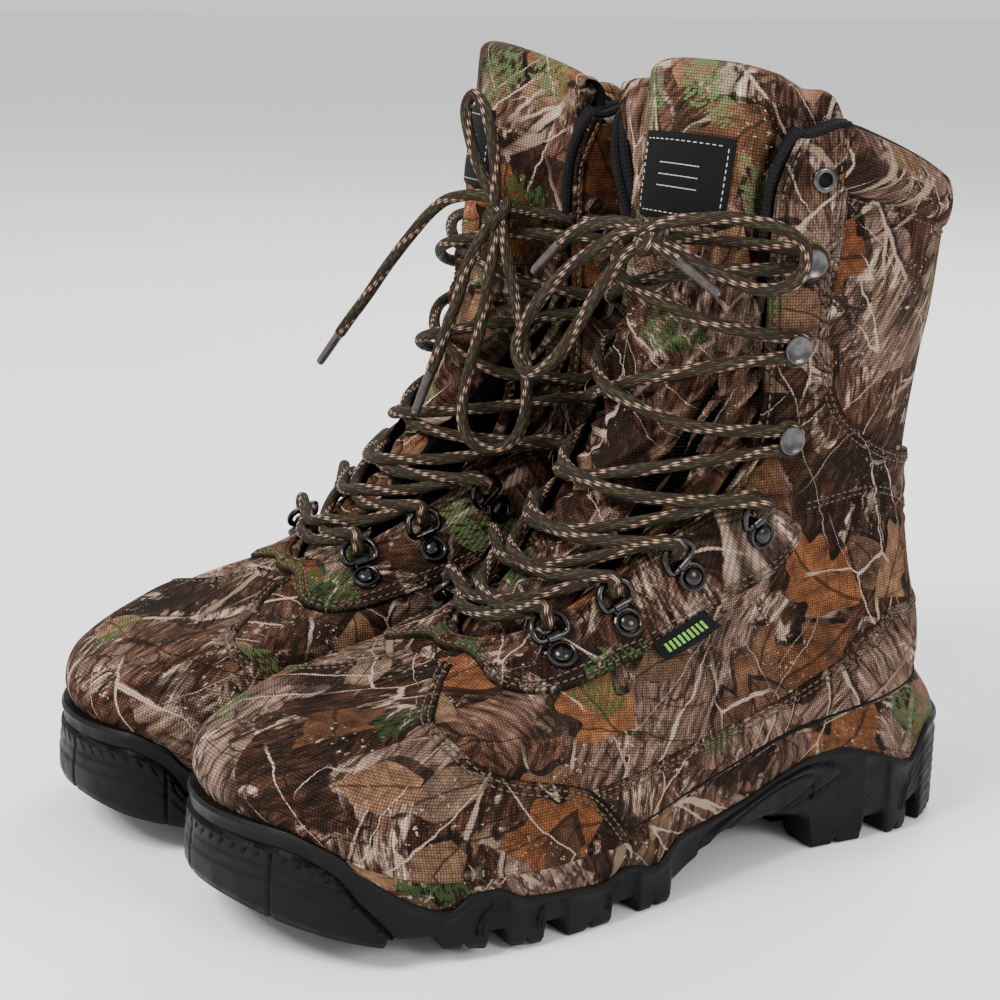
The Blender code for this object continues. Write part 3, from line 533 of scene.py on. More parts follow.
def stitch(places, depth, relief=None):
    """Thread stitches along a curve of places, riding on the cloth's own relief."""
    t, v = places.T
    if relief is not None:
        depth = depth - relief(t, v, upper(t, v))
    p, n = skin(t, v, depth), outward(t, v)
    run = run_along(p)
    at = np.arange(STITCH_PITCH / 2, run[-1] - STITCH_PITCH / 2, STITCH_PITCH)
    if not len(at):
        return
    centre = at_runs(at, run, p)
    up = unit(at_runs(at, run, n))
    ahead = at_runs(at + 0.5, run, p) - centre
    ahead = unit(ahead - up * (ahead * up).sum(-1, keepdims=True))
    across = np.cross(up, ahead)
    s = np.array([-0.5, -0.42, -0.15, 0.15, 0.42, 0.5]) * STITCH_LENGTH
    r = np.array([0.25, 0.8, 1, 1, 0.8, 0.25]) * STITCH_RADIUS
    h = np.array([-0.45, -0.05, 0.12, 0.12, -0.05, -0.45])
    turn = np.arange(6) * math.pi / 3
    centre, ahead, up, across = (a[:, None, None] for a in (centre, ahead, up, across))
    s, h, r, turn = s[:, None, None], h[:, None, None], r[:, None, None], turn[:, None]
    ring = centre + ahead * s + up * h + r * (across * np.cos(turn) + up * np.sin(turn))
    faces = grid_faces(6, 6, False, True) + [tuple(range(6))[::-1], tuple(range(30, 36))]
    every = [tuple(36 * k + i for i in f) for k in range(len(at)) for f in faces]
    THREAD.add(ring.reshape(-1, 3), every)


def double_stitch(curve, lift, side, relief, base=0.0, rows=ROWS):
    """Two rows of stitches beside a panel's edge; side 1 is left of its run, seen from outside."""
    for at in rows:
        stitch(inset(curve, side * at), base - lift + 0.2, relief)


# ---- materials -----------------------------------------------------------------------------------
class Net:
    """Short calls for building a node tree."""

    def __init__(self, tree):
        self.tree = tree

    def add(self, kind, inputs=(), **props):
        node = self.tree.nodes.new("ShaderNode" + kind)
        for key, value in props.items():
            setattr(node, key, value)
        for key, value in dict(inputs).items():
            self.put(node.inputs[key], value)
        return node

    def put(self, socket, value):
        if isinstance(value, bpy.types.NodeSocket):
            self.tree.links.new(value, socket)
        else:
            socket.default_value = value

    def math(self, op, *values):
        return self.add("Math", enumerate(values), operation=op).outputs[0]

    def plus(self, a, b):
        return self.math("ADD", a, b)

    def less(self, a, b):
        return self.math("SUBTRACT", a, b)

    def times(self, a, b):
        return self.math("MULTIPLY", a, b)

    def line(self, value, slope, start):
        return self.math("MULTIPLY_ADD", value, slope, start)

    def vector(self, op, a, b=(0, 0, 0), scale=None):
        node = self.add("VectorMath", {0: a}, operation=op)
        if scale is not None:
            self.put(node.inputs["Scale"], scale)
        else:
            self.put(node.inputs[1], b)
        return node.outputs[0]

    def mix(self, fac, a, b, blend="MIX"):
        node = self.add("Mix", {0: fac, 6: a, 7: b}, data_type="RGBA", blend_type=blend)
        return node.outputs[2]

    def over(self, base, mask, share, colour):
        """A colour laid over a base through a mask."""
        return self.mix(self.times(mask, share), base, colour)

    def tone(self, colour, grey):
        """A colour times a grey value."""
        grey = self.add("CombineColor", {0: grey, 1: grey, 2: grey}).outputs[0]
        return self.mix(1.0, colour, grey, "MULTIPLY")

    def call(self, tree, *values):
        """Outputs of a node group for the values of its inputs, in their order."""
        node = self.tree.nodes.new("ShaderNodeGroup")
        node.node_tree = tree
        for socket, value in zip(node.inputs, values):
            self.put(socket, value)
        return node.outputs

    def cloth(self):
        return self.add("UVMap", uv_map="cloth").outputs[0]

    def place(self):
        return self.add("TexCoord").outputs["Object"]

    def noise(self, vec, scale, detail=2.0, rough=0.5, warp=0.0):
        return self.add("TexNoise", {"Vector": vec, "Scale": scale, "Detail": detail, "Roughness": rough,
                                     "Distortion": warp}).outputs["Fac"]

    def shake(self, vec, scale, detail, reach):
        """Vectors of noise, to displace others by."""
        node = self.add("TexNoise", {"Vector": vec, "Scale": scale, "Detail": detail})
        return self.vector("SCALE", node.outputs["Color"], scale=reach)

    def cells(self, vec, scale, loose=1.0, **props):
        return self.add("TexVoronoi", {"Vector": vec, "Scale": scale, "Randomness": loose},
                        voronoi_dimensions="2D", **props).outputs

    def band(self, value, lo, hi, out=(0.0, 1.0)):
        return self.add("MapRange", {0: value, 1: lo, 2: hi, 3: out[0], 4: out[1]},
                        interpolation_type="SMOOTHSTEP").outputs[0]

    def ramp(self, fac, stops):
        node = self.add("ValToRGB", {0: fac})
        ramp = node.color_ramp
        while len(ramp.elements) < len(stops):
            ramp.elements.new(0.5)
        for element, (at, colour) in zip(ramp.elements, stops):
            element.position = at
            element.color = (*colour, 1)
        return node.outputs[0]

    def turn(self, vec, angle):
        return self.add("VectorRotate", {"Vector": vec, "Angle": angle}, rotation_type="Z_AXIS").outputs[0]

    def parts(self, vec):
        return self.add("SeparateXYZ", {0: vec}).outputs

    def stretch(self, vec, x, y):
        return self.vector("MULTIPLY", vec, (x, y, 1))

    def bump(self, height, distance, strength=1.0):
        return self.add("Bump", {"Height": height, "Distance": distance, "Strength": strength}).outputs[0]


def group(name, inputs, outputs):
    tree = bpy.data.node_groups.new(name, "ShaderNodeTree")
    for word, kind in inputs:
        tree.interface.new_socket(word, in_out="INPUT", socket_type="NodeSocket" + kind)
    for word, kind in outputs:
        tree.interface.new_socket(word, in_out="OUTPUT", socket_type="NodeSocket" + kind)
    net = Net(tree)
    return tree, net, tree.nodes.new("NodeGroupInput").outputs, tree.nodes.new("NodeGroupOutput").inputs


def leaf_group():
    """Scattered lobed leaves: mask, veins and a random tint."""
    tree, n, get, out = group("leaf", [("Vector", "Vector"), ("Scale", "Float"), ("Share", "Float"),
                                       ("Width", "Float"), ("Lobes", "Float")],
                              [("Mask", "Float"), ("Vein", "Float"), ("Tint", "Float")])
    cell = n.cells(get["Vector"], get["Scale"], 0.9)
    local = n.vector("SCALE", n.vector("SUBTRACT", get["Vector"], cell["Position"]),
                     scale=n.times(get["Scale"], 1.35))
    pick = n.add("SeparateColor", {0: cell["Color"]}).outputs
    local = n.turn(local, n.times(pick[0], 6.283))
    x, y, _ = n.parts(local)
    wander = n.line(n.noise(get["Vector"], 90.0, 2.0), 0.16, -0.08)
    y = n.plus(n.plus(y, wander), n.times(n.times(x, x), 0.18))
    reach = n.less(1.0, n.times(x, x))
    side = n.math("ABSOLUTE", y)
    wave = n.math("COSINE", n.times(n.less(x, n.times(side, 0.7)), get["Lobes"]))
    lobed = n.line(wave, 0.2, 0.8)
    wide = n.times(n.times(reach, lobed), get["Width"])
    inside = n.band(n.less(wide, side), 0.0, 0.03)
    here = n.math("LESS_THAN", pick[1], get["Share"])
    n.put(out["Mask"], n.times(inside, here))
    midrib = n.band(side, 0.012, 0.035, (1.0, 0.0))
    ribs = n.band(n.math("SINE", n.times(n.less(x, n.times(side, 0.9)), 21.0)),
                  0.9, 1.0)
    n.put(out["Vein"], n.math("MAXIMUM", midrib, n.times(ribs, 0.55)))
    n.put(out["Tint"], pick[2])
    return tree


def twig_group():
    """Slim branches that wander along one direction: mask."""
    tree, n, get, out = group("twig", [("Vector", "Vector"), ("Angle", "Float"), ("Scale", "Float"),
                                       ("Width", "Float")], [("Mask", "Float")])
    vec = n.turn(get["Vector"], get["Angle"])
    bend = n.line(n.noise(vec, 30.0, 1.0), 0.010, -0.005)
    kink = n.line(n.noise(vec, 170.0, 2.0), 0.0024, -0.0012)
    x, y, _ = n.parts(vec)
    run = n.add("CombineXYZ", {0: n.times(x, 0.06),
                               1: n.plus(n.plus(y, bend), kink)}).outputs[0]
    line = n.math("ABSOLUTE", n.less(n.noise(run, get["Scale"], 1.0, 0.4), 0.5))
    thin = n.less(1.0, n.band(line, n.times(get["Width"], 0.4), get["Width"]))
    part = n.band(n.noise(n.vector("ADD", vec, (0.5, 0.3, 0)), 16.0, 1.0), 0.51, 0.60)
    n.put(out["Mask"], n.times(thin, part))
    return tree


def branch_group():
    """Forking branches: mask."""
    tree, n, get, out = group("branch", [("Vector", "Vector"), ("Angle", "Float"), ("Scale", "Float"),
                                         ("Width", "Float")], [("Mask", "Float")])
    vec = n.vector("ADD", get["Vector"], n.shake(get["Vector"], 120.0, 3.0, 0.004))
    vec = n.stretch(n.turn(vec, get["Angle"]), 0.42, 1.0)
    edge = n.cells(vec, get["Scale"], feature="DISTANCE_TO_EDGE")["Distance"]
    taper = n.times(get["Width"], n.band(n.noise(vec, 60.0, 1.0), 0.3, 0.7, (0.35, 1.5)))
    thin = n.less(1.0, n.band(edge, n.times(taper, 0.5), taper))
    part = n.band(n.noise(n.vector("ADD", get["Vector"], (0.2, 0.9, 0)), 20.0, 1.0), 0.52, 0.59)
    n.put(out["Mask"], n.times(thin, part))
    return tree


LEAF, TWIG, BRANCH = leaf_group(), twig_group(), branch_group()


def camo_group():
    """Printed woodland: bark, cracks, branches, leaves and needles."""
    tree, n, get, out = group("camo", [("Vector", "Vector"), ("Green", "Float")], [("Color", "Color")])
    vec = get["Vector"]

    def leaves(*values):
        return n.call(LEAF, *values)

    def lines(kind, *values):
        return n.call(kind, *values)[0]

    # bark: torn patches, each with its own grain direction and tone
    torn = n.shake(vec, 55.0, 4.0, 0.022)
    cell = n.cells(n.vector("ADD", vec, torn), 26.0)
    pick = n.add("SeparateColor", {0: cell["Color"]}).outputs
    local = n.vector("SUBTRACT", vec, n.vector("SCALE", cell["Position"], scale=0.9))
    local = n.turn(local, n.line(pick[0], 1.8, 0.7))
    local = n.vector("ADD", local, n.vector("SCALE", cell["Color"], scale=0.7))
    fibre = n.noise(n.stretch(local, 1.0, 5.5), 75.0, 7.0, 0.72, 0.3)
    patch = n.plus(n.times(n.noise(vec, 19.0, 4.0, 0.65, 0.6), 0.62),
                   n.times(pick[1], 0.38))
    tone = n.ramp(patch, [(0.26, (0.016, 0.010, 0.008)), (0.40, (0.050, 0.028, 0.019)),
                          (0.50, (0.085, 0.052, 0.038)), (0.60, (0.125, 0.090, 0.074)),
                          (0.72, (0.20, 0.155, 0.130))])
    streak = n.ramp(fibre, [(0.36, (0.14, 0.12, 0.11)), (0.47, (0.60, 0.55, 0.52)), (0.55, (1.05, 1.0, 0.96)),
                            (0.64, (1.9, 1.75, 1.62)), (0.74, (3.4, 3.1, 2.8))])
    colour = n.mix(1.0, tone, streak, "MULTIPLY")
    chips = n.ramp(fibre, [(0.44, (0.030, 0.020, 0.015)), (0.50, (0.16, 0.115, 0.085)),
                           (0.58, (0.42, 0.35, 0.29)), (0.68, (0.62, 0.56, 0.49))])
    pale = n.band(n.noise(vec, 42.0, 3.0, 0.6, 0.8), 0.57, 0.62)
    colour = n.over(colour, pale, 0.85, chips)
    bent = n.vector("ADD", n.stretch(local, 0.5, 1.2), n.shake(vec, 90.0, 2.0, 0.012))
    crack = n.cells(bent, 120.0, feature="DISTANCE_TO_EDGE")["Distance"]
    cracked = n.times(n.band(crack, 0.03, 0.11, (1.0, 0.0)),
                     n.band(n.noise(vec, 24.0, 1.0), 0.44, 0.54))
    colour = n.over(colour, cracked, 0.8, (0.012, 0.008, 0.006, 1))
    shade = n.band(n.noise(n.vector("ADD", vec, (0.4, 0.6, 0)), 30.0, 4.0, 0.6, 0.5), 0.55, 0.61)
    colour = n.over(colour, shade, 0.75, (0.011, 0.008, 0.006, 1))

    # branches behind the leaves
    for kind, angle, scale, width, hue in ((BRANCH, 0.5, 24.0, 0.034, (0.22, 0.165, 0.125, 1)),
                                           (BRANCH, 1.9, 36.0, 0.026, (0.34, 0.28, 0.225, 1)),
                                           (TWIG, 1.2, 34.0, 0.008, (0.30, 0.24, 0.19, 1))):
        away = n.vector("ADD", vec, (0.0009, -0.0012, 0))
        colour = n.over(colour, lines(kind, away, angle, scale, width * 1.5), 0.75,
                        (0.008, 0.006, 0.005, 1))
        colour = n.over(colour, lines(kind, vec, angle, scale, width), 0.85,
                        hue)

    # fallen leaves at two sizes, with drop shadows
    for k, (scale, share, width, lobes, hues) in enumerate((
            (27.0, 0.20, 0.60, 10.0, [(0.0, (0.095, 0.040, 0.018)), (0.35, (0.165, 0.076, 0.036)),
                                      (0.6, (0.065, 0.033, 0.018)), (1.0, (0.19, 0.120, 0.072))]),
            (41.0, 0.20, 0.55, 4.0, [(0.0, (0.13, 0.060, 0.027)), (0.4, (0.16, 0.110, 0.072)),
                                     (0.7, (0.050, 0.028, 0.018)), (1.0, (0.23, 0.180, 0.138))]))):
        here = n.vector("ADD", vec, (0.31 * k + 0.1, 0.17 * k, 0))
        shadow = leaves(n.vector("ADD", here, (0.0022, -0.0024, 0)), scale, share, width * 1.05, lobes)
        colour = n.over(colour, shadow["Mask"], 0.82, (0.007, 0.005, 0.004, 1))
        leaf = leaves(here, scale, share, width, lobes)
        hue = n.ramp(leaf["Tint"], hues)
        mottle = n.ramp(n.noise(here, 120.0, 6.0, 0.72),
                        [(0.3, (0.30, 0.27, 0.25)), (0.47, (0.85, 0.82, 0.8)),
                         (0.56, (1.2, 1.15, 1.1)), (0.72, (2.1, 2.0, 1.9))])
        hue = n.mix(1.0, hue, mottle, "MULTIPLY")
        hue = n.mix(n.times(leaf["Vein"], 0.75), hue, (0.020, 0.010, 0.006, 1))
        colour = n.over(colour, leaf["Mask"], 0.94, hue)

    # fine twigs, needles and lichen over everything
    fine = n.vector("ADD", vec, (0.263, 0.318, 0))
    colour = n.over(colour, lines(BRANCH, fine, 1.0, 40.0, 0.018), 0.75,
                        (0.42, 0.36, 0.295, 1))
    colour = n.over(colour, lines(TWIG, fine, 2.4, 52.0, 0.006), 0.7,
                        (0.46, 0.40, 0.33, 1))
    colour = n.over(colour, lines(TWIG, fine, 0.1, 60.0, 0.008), 0.8,
                        (0.010, 0.007, 0.005, 1))
    sprig = leaves(n.vector("ADD", vec, (0.77, 0.43, 0)), 36.0, get["Green"], 0.55, 26.0)
    needle = n.times(sprig["Mask"], n.band(n.noise(n.stretch(local, 1.0, 3.0), 330.0, 2.0), 0.46, 0.53))
    green = n.ramp(sprig["Tint"], [(0.0, (0.016, 0.045, 0.014)), (0.5, (0.035, 0.080, 0.027)),
                                   (1.0, (0.085, 0.125, 0.055))])
    colour = n.over(colour, needle, 0.9, green)
    fleck = n.band(n.noise(vec, 400.0, 3.0, 0.65), 0.60, 0.67)
    where = n.band(n.noise(vec, 28.0, 2.0), 0.50, 0.62)
    colour = n.mix(n.times(n.times(fleck, where), 0.7), colour, (0.50, 0.46, 0.39, 1))
    n.put(out["Color"], n.mix(1.0, colour, (1.13, 1.0, 0.94, 1), "MULTIPLY"))
    return tree


CAMO = camo_group()


def new_material(name, roughness, metallic=0.0, specular=0.5):
    mat = bpy.data.materials.new(name)
    mat.use_nodes = True
    net = Net(mat.node_tree)
    shader = mat.node_tree.nodes["Principled BSDF"]
    shader.inputs["Roughness"].default_value = roughness
    shader.inputs["Metallic"].default_value = metallic
    shader.inputs["Specular IOR Level"].default_value = specular
    return mat, net, shader.inputs


def weave(n, vec, pitch):
    """Plain weave: 1 on top of a yarn, 0 between yarns."""
    x, y, _ = n.parts(vec)
    a = n.math("SINE", n.times(x, math.pi / pitch))
    b = n.math("SINE", n.times(y, math.pi / pitch))
    both = n.times(a, b)
    over = n.math("ABSOLUTE", both)
    return n.math("POWER", over, 0.6), n.math("GREATER_THAN", both, 0.0)


def camo_cloth(name, green, pitch=0.00105, bright=1.11, rough=0.82, relief=0.00022):
    mat, n, put = new_material(name, rough, specular=0.05)
    vec = n.cloth()
    print_ = n.call(CAMO, vec, green)[0]
    over, warp = weave(n, vec, pitch)
    # the print darkens between the yarns and lightens on their tops: painted shade and painted highlight of
    # the weave; the squares where warp or weft lies on top differ a little in tone
    tone = n.line(over, 0.85, 0.30)
    tone = n.times(tone, n.line(warp, 0.16, 0.92))
    tone = n.times(tone, bright)
    colour = n.tone(print_, tone)
    # seam: painted shade read from the 'shade' attribute, along panel edges, in stitch grooves and in the
    # tongue's fold valleys
    seam = n.add("Attribute", attribute_name="shade").outputs["Fac"]
    n.put(put["Base Color"], n.over(colour, seam, 0.88, (0.006, 0.004, 0.003, 1)))
    worn = n.noise(vec, 55.0, 3.0)
    n.put(put["Roughness"], n.line(worn, 0.25, rough - 0.14))
    n.put(put["Normal"], n.bump(n.line(worn, 0.25, over), relief))
    return mat


def rubber():
    mat, n, put = new_material("black_rubber", 0.5, specular=0.12)
    where = n.place()
    dust = n.noise(where, 45.0, 4.0, 0.6)
    grain = n.noise(where, 1500.0, 3.0, 0.6)
    n.put(put["Base Color"], n.ramp(dust, [(0.3, (0.0025, 0.0025, 0.0025)), (0.62, (0.004, 0.004, 0.004)),
                                           (0.8, (0.010, 0.0095, 0.009))]))
    n.put(put["Roughness"], n.band(n.noise(where, 120.0, 3.0), 0.3, 0.7, (0.40, 0.60)))
    n.put(put["Normal"], n.bump(grain, 0.00022, 0.7))
    return mat


def black_cloth(name, pitch=0.0009, colour=(0.009, 0.009, 0.010), rough=0.9):
    mat, n, put = new_material(name, rough, specular=0.12)
    vec = n.cloth()
    over, _ = weave(n, vec, pitch)
    lint = n.noise(vec, 900.0, 2.0)
    # tone: random lint mottling, and painted shade between the yarns
    tone = n.line(over, 0.7, n.line(lint, 0.5, 0.35))
    n.put(put["Base Color"], n.tone((*colour, 1), tone))
    n.put(put["Roughness"], n.line(lint, 0.15, rough - 0.08))
    n.put(put["Normal"], n.bump(over, 0.0003))
    return mat


def braid():
    """Round braid: two sets of slanting strands, some tan and some green."""
    mat, n, put = new_material("lace_braid", 0.75, specular=0.15)
    x, y, _ = n.parts(n.cloth())
    run = n.times(x, 270.0)
    turn = n.times(y, 16.0)
    p, q = n.plus(run, turn), n.less(run, turn)
    ip, iq = n.math("FLOOR", p), n.math("FLOOR", q)
    even = n.math("LESS_THAN", n.math("PINGPONG", n.plus(ip, iq), 1.0), 0.5)

    def yarns(strand, stops):
        """Colour of the strand by its number, repeating every eight."""
        kind = n.math("FRACT", n.line(strand, 0.125, 0.0005))
        colour = n.ramp(kind, stops)
        mat.node_tree.nodes[-1].color_ramp.interpolation = "CONSTANT"
        return colour

    dark, tan, olive = (0.034, 0.020, 0.014), (0.38, 0.25, 0.175), (0.056, 0.054, 0.026)
    one = yarns(ip, [(0.0, dark), (0.125, tan), (0.375, dark), (0.5, olive), (0.75, dark)])
    two = yarns(iq, [(0.0, dark), (0.25, olive), (0.375, dark), (0.75, olive), (0.875, dark)])
    colour = n.mix(even, two, one)
    fp = n.math("ABSOLUTE", n.math("SINE", n.times(p, math.pi)))
    fq = n.math("ABSOLUTE", n.math("SINE", n.times(q, math.pi)))
    swell = n.math("POWER", n.times(fp, fq), 0.5)
    # tone: painted shade where the strands dip between each other, lighter on their crowns
    tone = n.line(swell, 0.9, 0.25)
    n.put(put["Base Color"], n.tone(colour, tone))
    n.put(put["Normal"], n.bump(swell, 0.0005))
    return mat


def metal(name, colour, rough):
    mat, n, put = new_material(name, rough, 1.0)
    where = n.place()
    worn = n.noise(where, 260.0, 4.0, 0.6)
    n.put(put["Base Color"], n.ramp(worn, [(0.3, tuple(c * 0.55 for c in colour)), (0.55, colour),
                                           (0.8, tuple(min(1, c * 1.35) for c in colour))]))
    n.put(put["Roughness"], n.band(worn, 0.3, 0.75, (rough + 0.12, rough - 0.08)))
    n.put(put["Normal"], n.bump(n.noise(where, 1400.0, 2.0), 0.00008, 0.5))
    return mat


def plain(name, dark, light, scale, rough, metallic=0.0, relief=0.0002):
    """Mottled material for the pieces inside and for small trim."""
    mat, n, put = new_material(name, rough, metallic)
    where = n.place()
    tone = n.noise(where, scale, 5.0, 0.65)
    n.put(put["Base Color"], n.ramp(tone, [(0.35, dark), (0.65, light)]))
    n.put(put["Roughness"], n.line(tone, 0.2, rough - 0.1))
    n.put(put["Normal"], n.bump(n.noise(where, scale * 6, 3.0), relief))
    return mat


FABRIC = camo_cloth("camouflage_oxford", 0.10)
FABRIC_GREEN = camo_cloth("camouflage_oxford_green", 0.4)
# brighter copy of the green camo cloth: painted light on the tongue, which sits sunk between the flaps
TONGUE_CLOTH_PAINTED_LIGHT = camo_cloth("camouflage_tongue_painted_light", 0.4, bright=1.4)
SATIN = camo_cloth("camouflage_satin", 0.3, 0.0006, 0.88, 0.6, 0.00008)
RUBBER = rubber()
LINING = black_cloth("black_lining")
RIB = black_cloth("black_rib", 0.0016, (0.008, 0.008, 0.009))
BRAID = braid()
GUNMETAL = metal("gunmetal", (0.045, 0.043, 0.042), 0.18)
STEEL_GREY = metal("grey_nickel", (0.095, 0.092, 0.090), 0.20)
AGLET = plain("lace_tip", (0.020, 0.014, 0.011), (0.050, 0.037, 0.030), 300.0, 0.3)
THREAD_MAT = plain("thread", (0.045, 0.028, 0.019), (0.11, 0.074, 0.050), 900.0, 0.75)
LABEL = black_cloth("label_weave", 0.0005, (0.006, 0.006, 0.006), 0.75)
LABEL_MARK = plain("label_yarn", (0.35, 0.35, 0.34), (0.55, 0.55, 0.53), 800.0, 0.8)
TAG_MARK = plain("tag_yarn", (0.10, 0.28, 0.03), (0.20, 0.46, 0.07), 800.0, 0.8)
BOARD = plain("pressed_board", (0.20, 0.16, 0.11), (0.38, 0.32, 0.24), 400.0, 0.85)
FOAM = plain("footbed_cloth", (0.020, 0.020, 0.022), (0.055, 0.055, 0.060), 700.0, 0.92, 0.0, 0.0004)
SHANK = plain("shank_steel", (0.32, 0.32, 0.33), (0.60, 0.60, 0.61), 300.0, 0.35, 1.0)


ARCH_GAP = 30               # a gap between lugs wider than this is the arch, and carries no ribs


# ---- sole ----------------------------------------------------------------------------------------
def sole_top(y):
    """Height of the rubber's top edge, raised to a rand at the toe."""
    toe = smooth(-y, 138, 147)
    return np.minimum(along(SOLE_TOP, y) + 4 * toe, along(FEATHER, y) - 2.2 + 2.5 * toe)


def lug_share(y):
    """1 on a lug, 0 in the arch-topped gap between two."""
    share = np.zeros_like(y)
    for low, high in LUGS:
        share = np.maximum(share, smooth(y, low - 1.6, low + 0.8) * (1 - smooth(y, high - 0.8, high + 1.6)))
    return share


SOLE_MIDDLE = np.array([0.0, -12.0])


def make_outsole():
    n = 1360
    t = np.linspace(0, 1, n, endpoint=False)
    p = outline(SOLE, t)
    y = p[:, 1]
    top, base, ground = sole_top(y), along(SOLE_BASE, y), along(GROUND, y)
    share = lug_share(y)
    base = ground + (base - ground) * (0.78 + 0.22 * smooth(y, -14, -2) * (1 - smooth(y, 55, 64)))
    sipe = np.zeros_like(y)
    for low, high in LUGS[1:]:
        sipe = np.maximum(sipe, np.clip(1 - np.abs(y - (low + high) / 2) / 1.5, 0, 1))
    bottom = base + (ground - base) * share + 2.2 * sipe * share
    toe = smooth(-y, 95, 125)
    heel = smooth(y, 108, 125)
    arch = smooth(y, -8, 4) * (1 - smooth(y, 80, 96))
    run = run_along(p)
    rings, height = [], np.linspace(0, 1, 42)
    for h in height:
        z = top + (bottom - top) * h
        drop = top - z
        out = 0.9 * hump(drop, 1.5, 1.6)
        # toe bumper: a clean rand above, then a proud block with ribs and steps
        ledge = 7.4 + 13 * smooth(y, -152, -112)
        block = smooth(drop, ledge + 0.1, ledge + 1.1) * toe
        ribs = 0.45 * smooth(drop, 13.6, 14.2) + 0.45 * smooth(drop, 18.0, 18.6)
        steps = -0.9 * hump(np.mod(run, 41), 13, 0.6) * smooth(drop, 8, 9)
        ticks = -0.8 * smooth(np.cos(2 * np.pi * (run - 0.8 * drop) / 5.2), 0.6, 0.85)
        ticks = ticks * hump(drop - ledge, 2.6, 1.3)
        out = out + block * (1.2 + ribs + steps + ticks) - 0.9 * toe * hump(drop, ledge, 0.7)
        # lateral and medial walls: buttresses over the lugs, curved ribs fanning over the gaps
        side = (1 - toe) * (1 - heel) * (1 - arch)
        wall = 1.3 * (share - 0.5)
        for (_, gap0), (gap1, _) in zip(LUGS[:-1], LUGS[1:]):
            if gap1 - gap0 > ARCH_GAP:
                continue
            across = y - (gap0 + gap1) / 2
            r = np.hypot(across * 1.1, (z - base) * 0.9)
            fan = hump(r, 8.8, 2.6) * (1 - smooth(across, -3.0, 0.0)) * smooth(z - base, -2.0, 0.5)
            wall = wall + fan * 0.6 * np.cos(2 * np.pi * r / 2.1)
        out = out + side * wall * smooth(drop, 1.5, 3.0)
        # arch: a moulded plate outlined by a groove
        inside = np.hypot((y - 38) / 40, (drop - 9.5) / 8.5)
        out = out + arch * (0.9 * (1 - smooth(inside, 0.80, 0.86)) - 1.1 * hump(inside, 0.92, 0.045))
        out = out - arch * 0.9 * hump(inside, 0.60, 0.04)
        # heel: wide shallow ribs
        out = out + heel * (0.5 + 0.35 * np.cos(2 * np.pi * drop / 4.2)) * smooth(drop, 5, 7)
        taper = 0.9 * smooth(h, 0.9, 1.0) + 0.4 * smooth(-h, -0.05, 0.0)
        xy = outline(SOLE, t, -out + taper)
        rings.append(np.column_stack([xy, z]))

    def flat(inset_by, z):
        return np.column_stack([outline(SOLE, t, inset_by), z])

    def shrunk(ring, k):
        return np.column_stack([SOLE_MIDDLE + (ring[:, :2] - SOLE_MIDDLE) * k, ring[:, 2]])

    under = [flat(2.0, bottom), flat(15.5, bottom), flat(17.0, bottom + (base - bottom) * 0.15),
             flat(17.6, base)]
    under += [shrunk(under[-1], k) for k in (0.5, 0.02)]
    lip = [flat(4.4, np.minimum(base + 3, top - 2)), flat(4.0, top - 0.4), flat(0.9, top - 0.1)]
    cap = [shrunk(lip[0], k) for k in (0.02, 0.5)]
    verts, faces, uv = loft(cap + lip + rings + under)
    soup = Soup().add(verts, [f[::-1] for f in faces], uv)
    for low, high in [(-120, -104), (-92, -78), (-66, -50), (-38, -22), (64, 80), (97, 108)]:
        y0 = np.linspace(low, high, 9)
        for x0, x1 in ((-12.5, -1.5), (1.5, 13.5)):
            edge = np.vstack([row_at(y0, x0), row_at(y0[::-1], x1)])[:, ::-1]
            mid = edge.mean(0)
            stack = []
            for k, z in ((1.04, along(SOLE_BASE, edge[:, 1]) + 0.6), (0.97, along(GROUND, edge[:, 1]) + 0.6),
                         (0.9, along(GROUND, edge[:, 1]) + 0.05)):
                stack.append(np.column_stack([mid + (edge - mid) * k, z]))
            v, f, u = loft(stack)
            soup.add(v, f, u)
    emit("outsole", soup, [RUBBER], crease=38)


